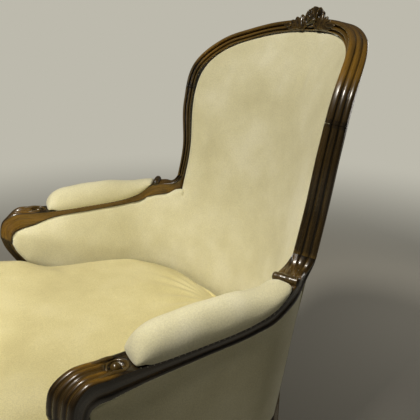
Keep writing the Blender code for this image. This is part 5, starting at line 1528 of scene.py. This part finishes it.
subdivide(cushion, 1)
bake(cushion)
print("cushion points", len(cushion.data.vertices))

# %% [markdown]
# ## Piping and stitches
# A thin cord covered in muslin closes the joint between cover and wood along the outer walls. Along the sight
# edge the upholsterer's blind stitches show as small pale ticks. Each tick is a tiny stretched icosahedron, and
# all the ticks of an edge are one mesh.

# %% Piping and stitches
PIPING_RADIUS = 0.0013
TICK_LENGTH = 0.0022
TICK_WIDTH = 0.0006
TICK_PITCH = 0.0085
TICK_INSET = 0.0016
TICK_LIFT = 0.0004
STITCHED_ROWS = slice(95, 306)


def piping(name, places):
    """A covered cord along the places."""
    count = 4 * len(places)
    form = bmesh.new()
    loft_into(form, tube_rings(smooth_rows(places, count), [PIPING_RADIUS] * count, 10))
    return add_piece(name, form, muslin, "chair")


def ticks(name, places, directions, normals):
    """A row of stitches, each a tiny stretched icosahedron that lies along its direction."""
    form = bmesh.new()
    for place, direction, normal in zip(places, directions, normals):
        direction = unit(direction)
        side = unit(np.cross(normal, direction))
        above = np.cross(direction, side)
        turn = Matrix(np.column_stack([direction * TICK_LENGTH / 2.0, side * TICK_WIDTH / 2.0,
                                       above * TICK_WIDTH / 2.0]).tolist()).to_4x4()
        turn.translation = Vector(place)
        bmesh.ops.create_icosphere(form, subdivisions=1, radius=1.0, matrix=turn)
    return add_piece(name, form, linen, "chair")


def evenly(places, pitch):
    """The same line with its places one pitch apart."""
    steps = np.linalg.norm(np.diff(places, axis=0), axis=1)
    return smooth_rows(places, max(2, int(steps.sum() / pitch)))


for side, sign in (("left", 1.0), ("right", -1.0)):
    welt_line = wood_line(True, *OUTER_EDGE_SHARES)[::2] + np.array((0.6 * COVER_INSET, 0.0, 0.0))
    piping("outer_piping_" + side, welt_line * np.array((sign, 1.0, 1.0)))
    low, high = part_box("arm_pad_" + side)
    for word, reach in (("outer", 1.0), ("inner", -1.0)):
        foot = trace("arm_pad_" + side, 1, np.linspace(low.y + 0.01, high.y - 0.008, 30), (reach * sign, 0.0, -1.0))
        marks = evenly(foot, TICK_PITCH)
        ticks("pad_ticks_" + word + "_" + side, marks, [(0.0, 0.3, 1.0)] * len(marks),
              [(reach * sign, 0.0, 0.3)] * len(marks))

stitch_rows = evenly(np.array([back_place(*row) for row in sight_rows[STITCHED_ROWS]]), TICK_PITCH)
normals = []
directions = []
for index, place in enumerate(stitch_rows):
    turn = math.atan2(place[0], place[1] - (stitch_rows[len(stitch_rows) // 2][1] - BACK_RADIUS))
    normals.append(back_normal(turn * BACK_RADIUS))
    tangent = stitch_rows[min(index + 1, len(stitch_rows) - 1)] - stitch_rows[max(index - 1, 0)]
    directions.append(np.cross(tangent, normals[-1]))
inward = np.array([unit(direction) for direction in directions])
ticks("back_ticks", stitch_rows - TICK_INSET * inward + TICK_LIFT * np.array(normals), directions, normals)
print("ticks on the back", len(stitch_rows))
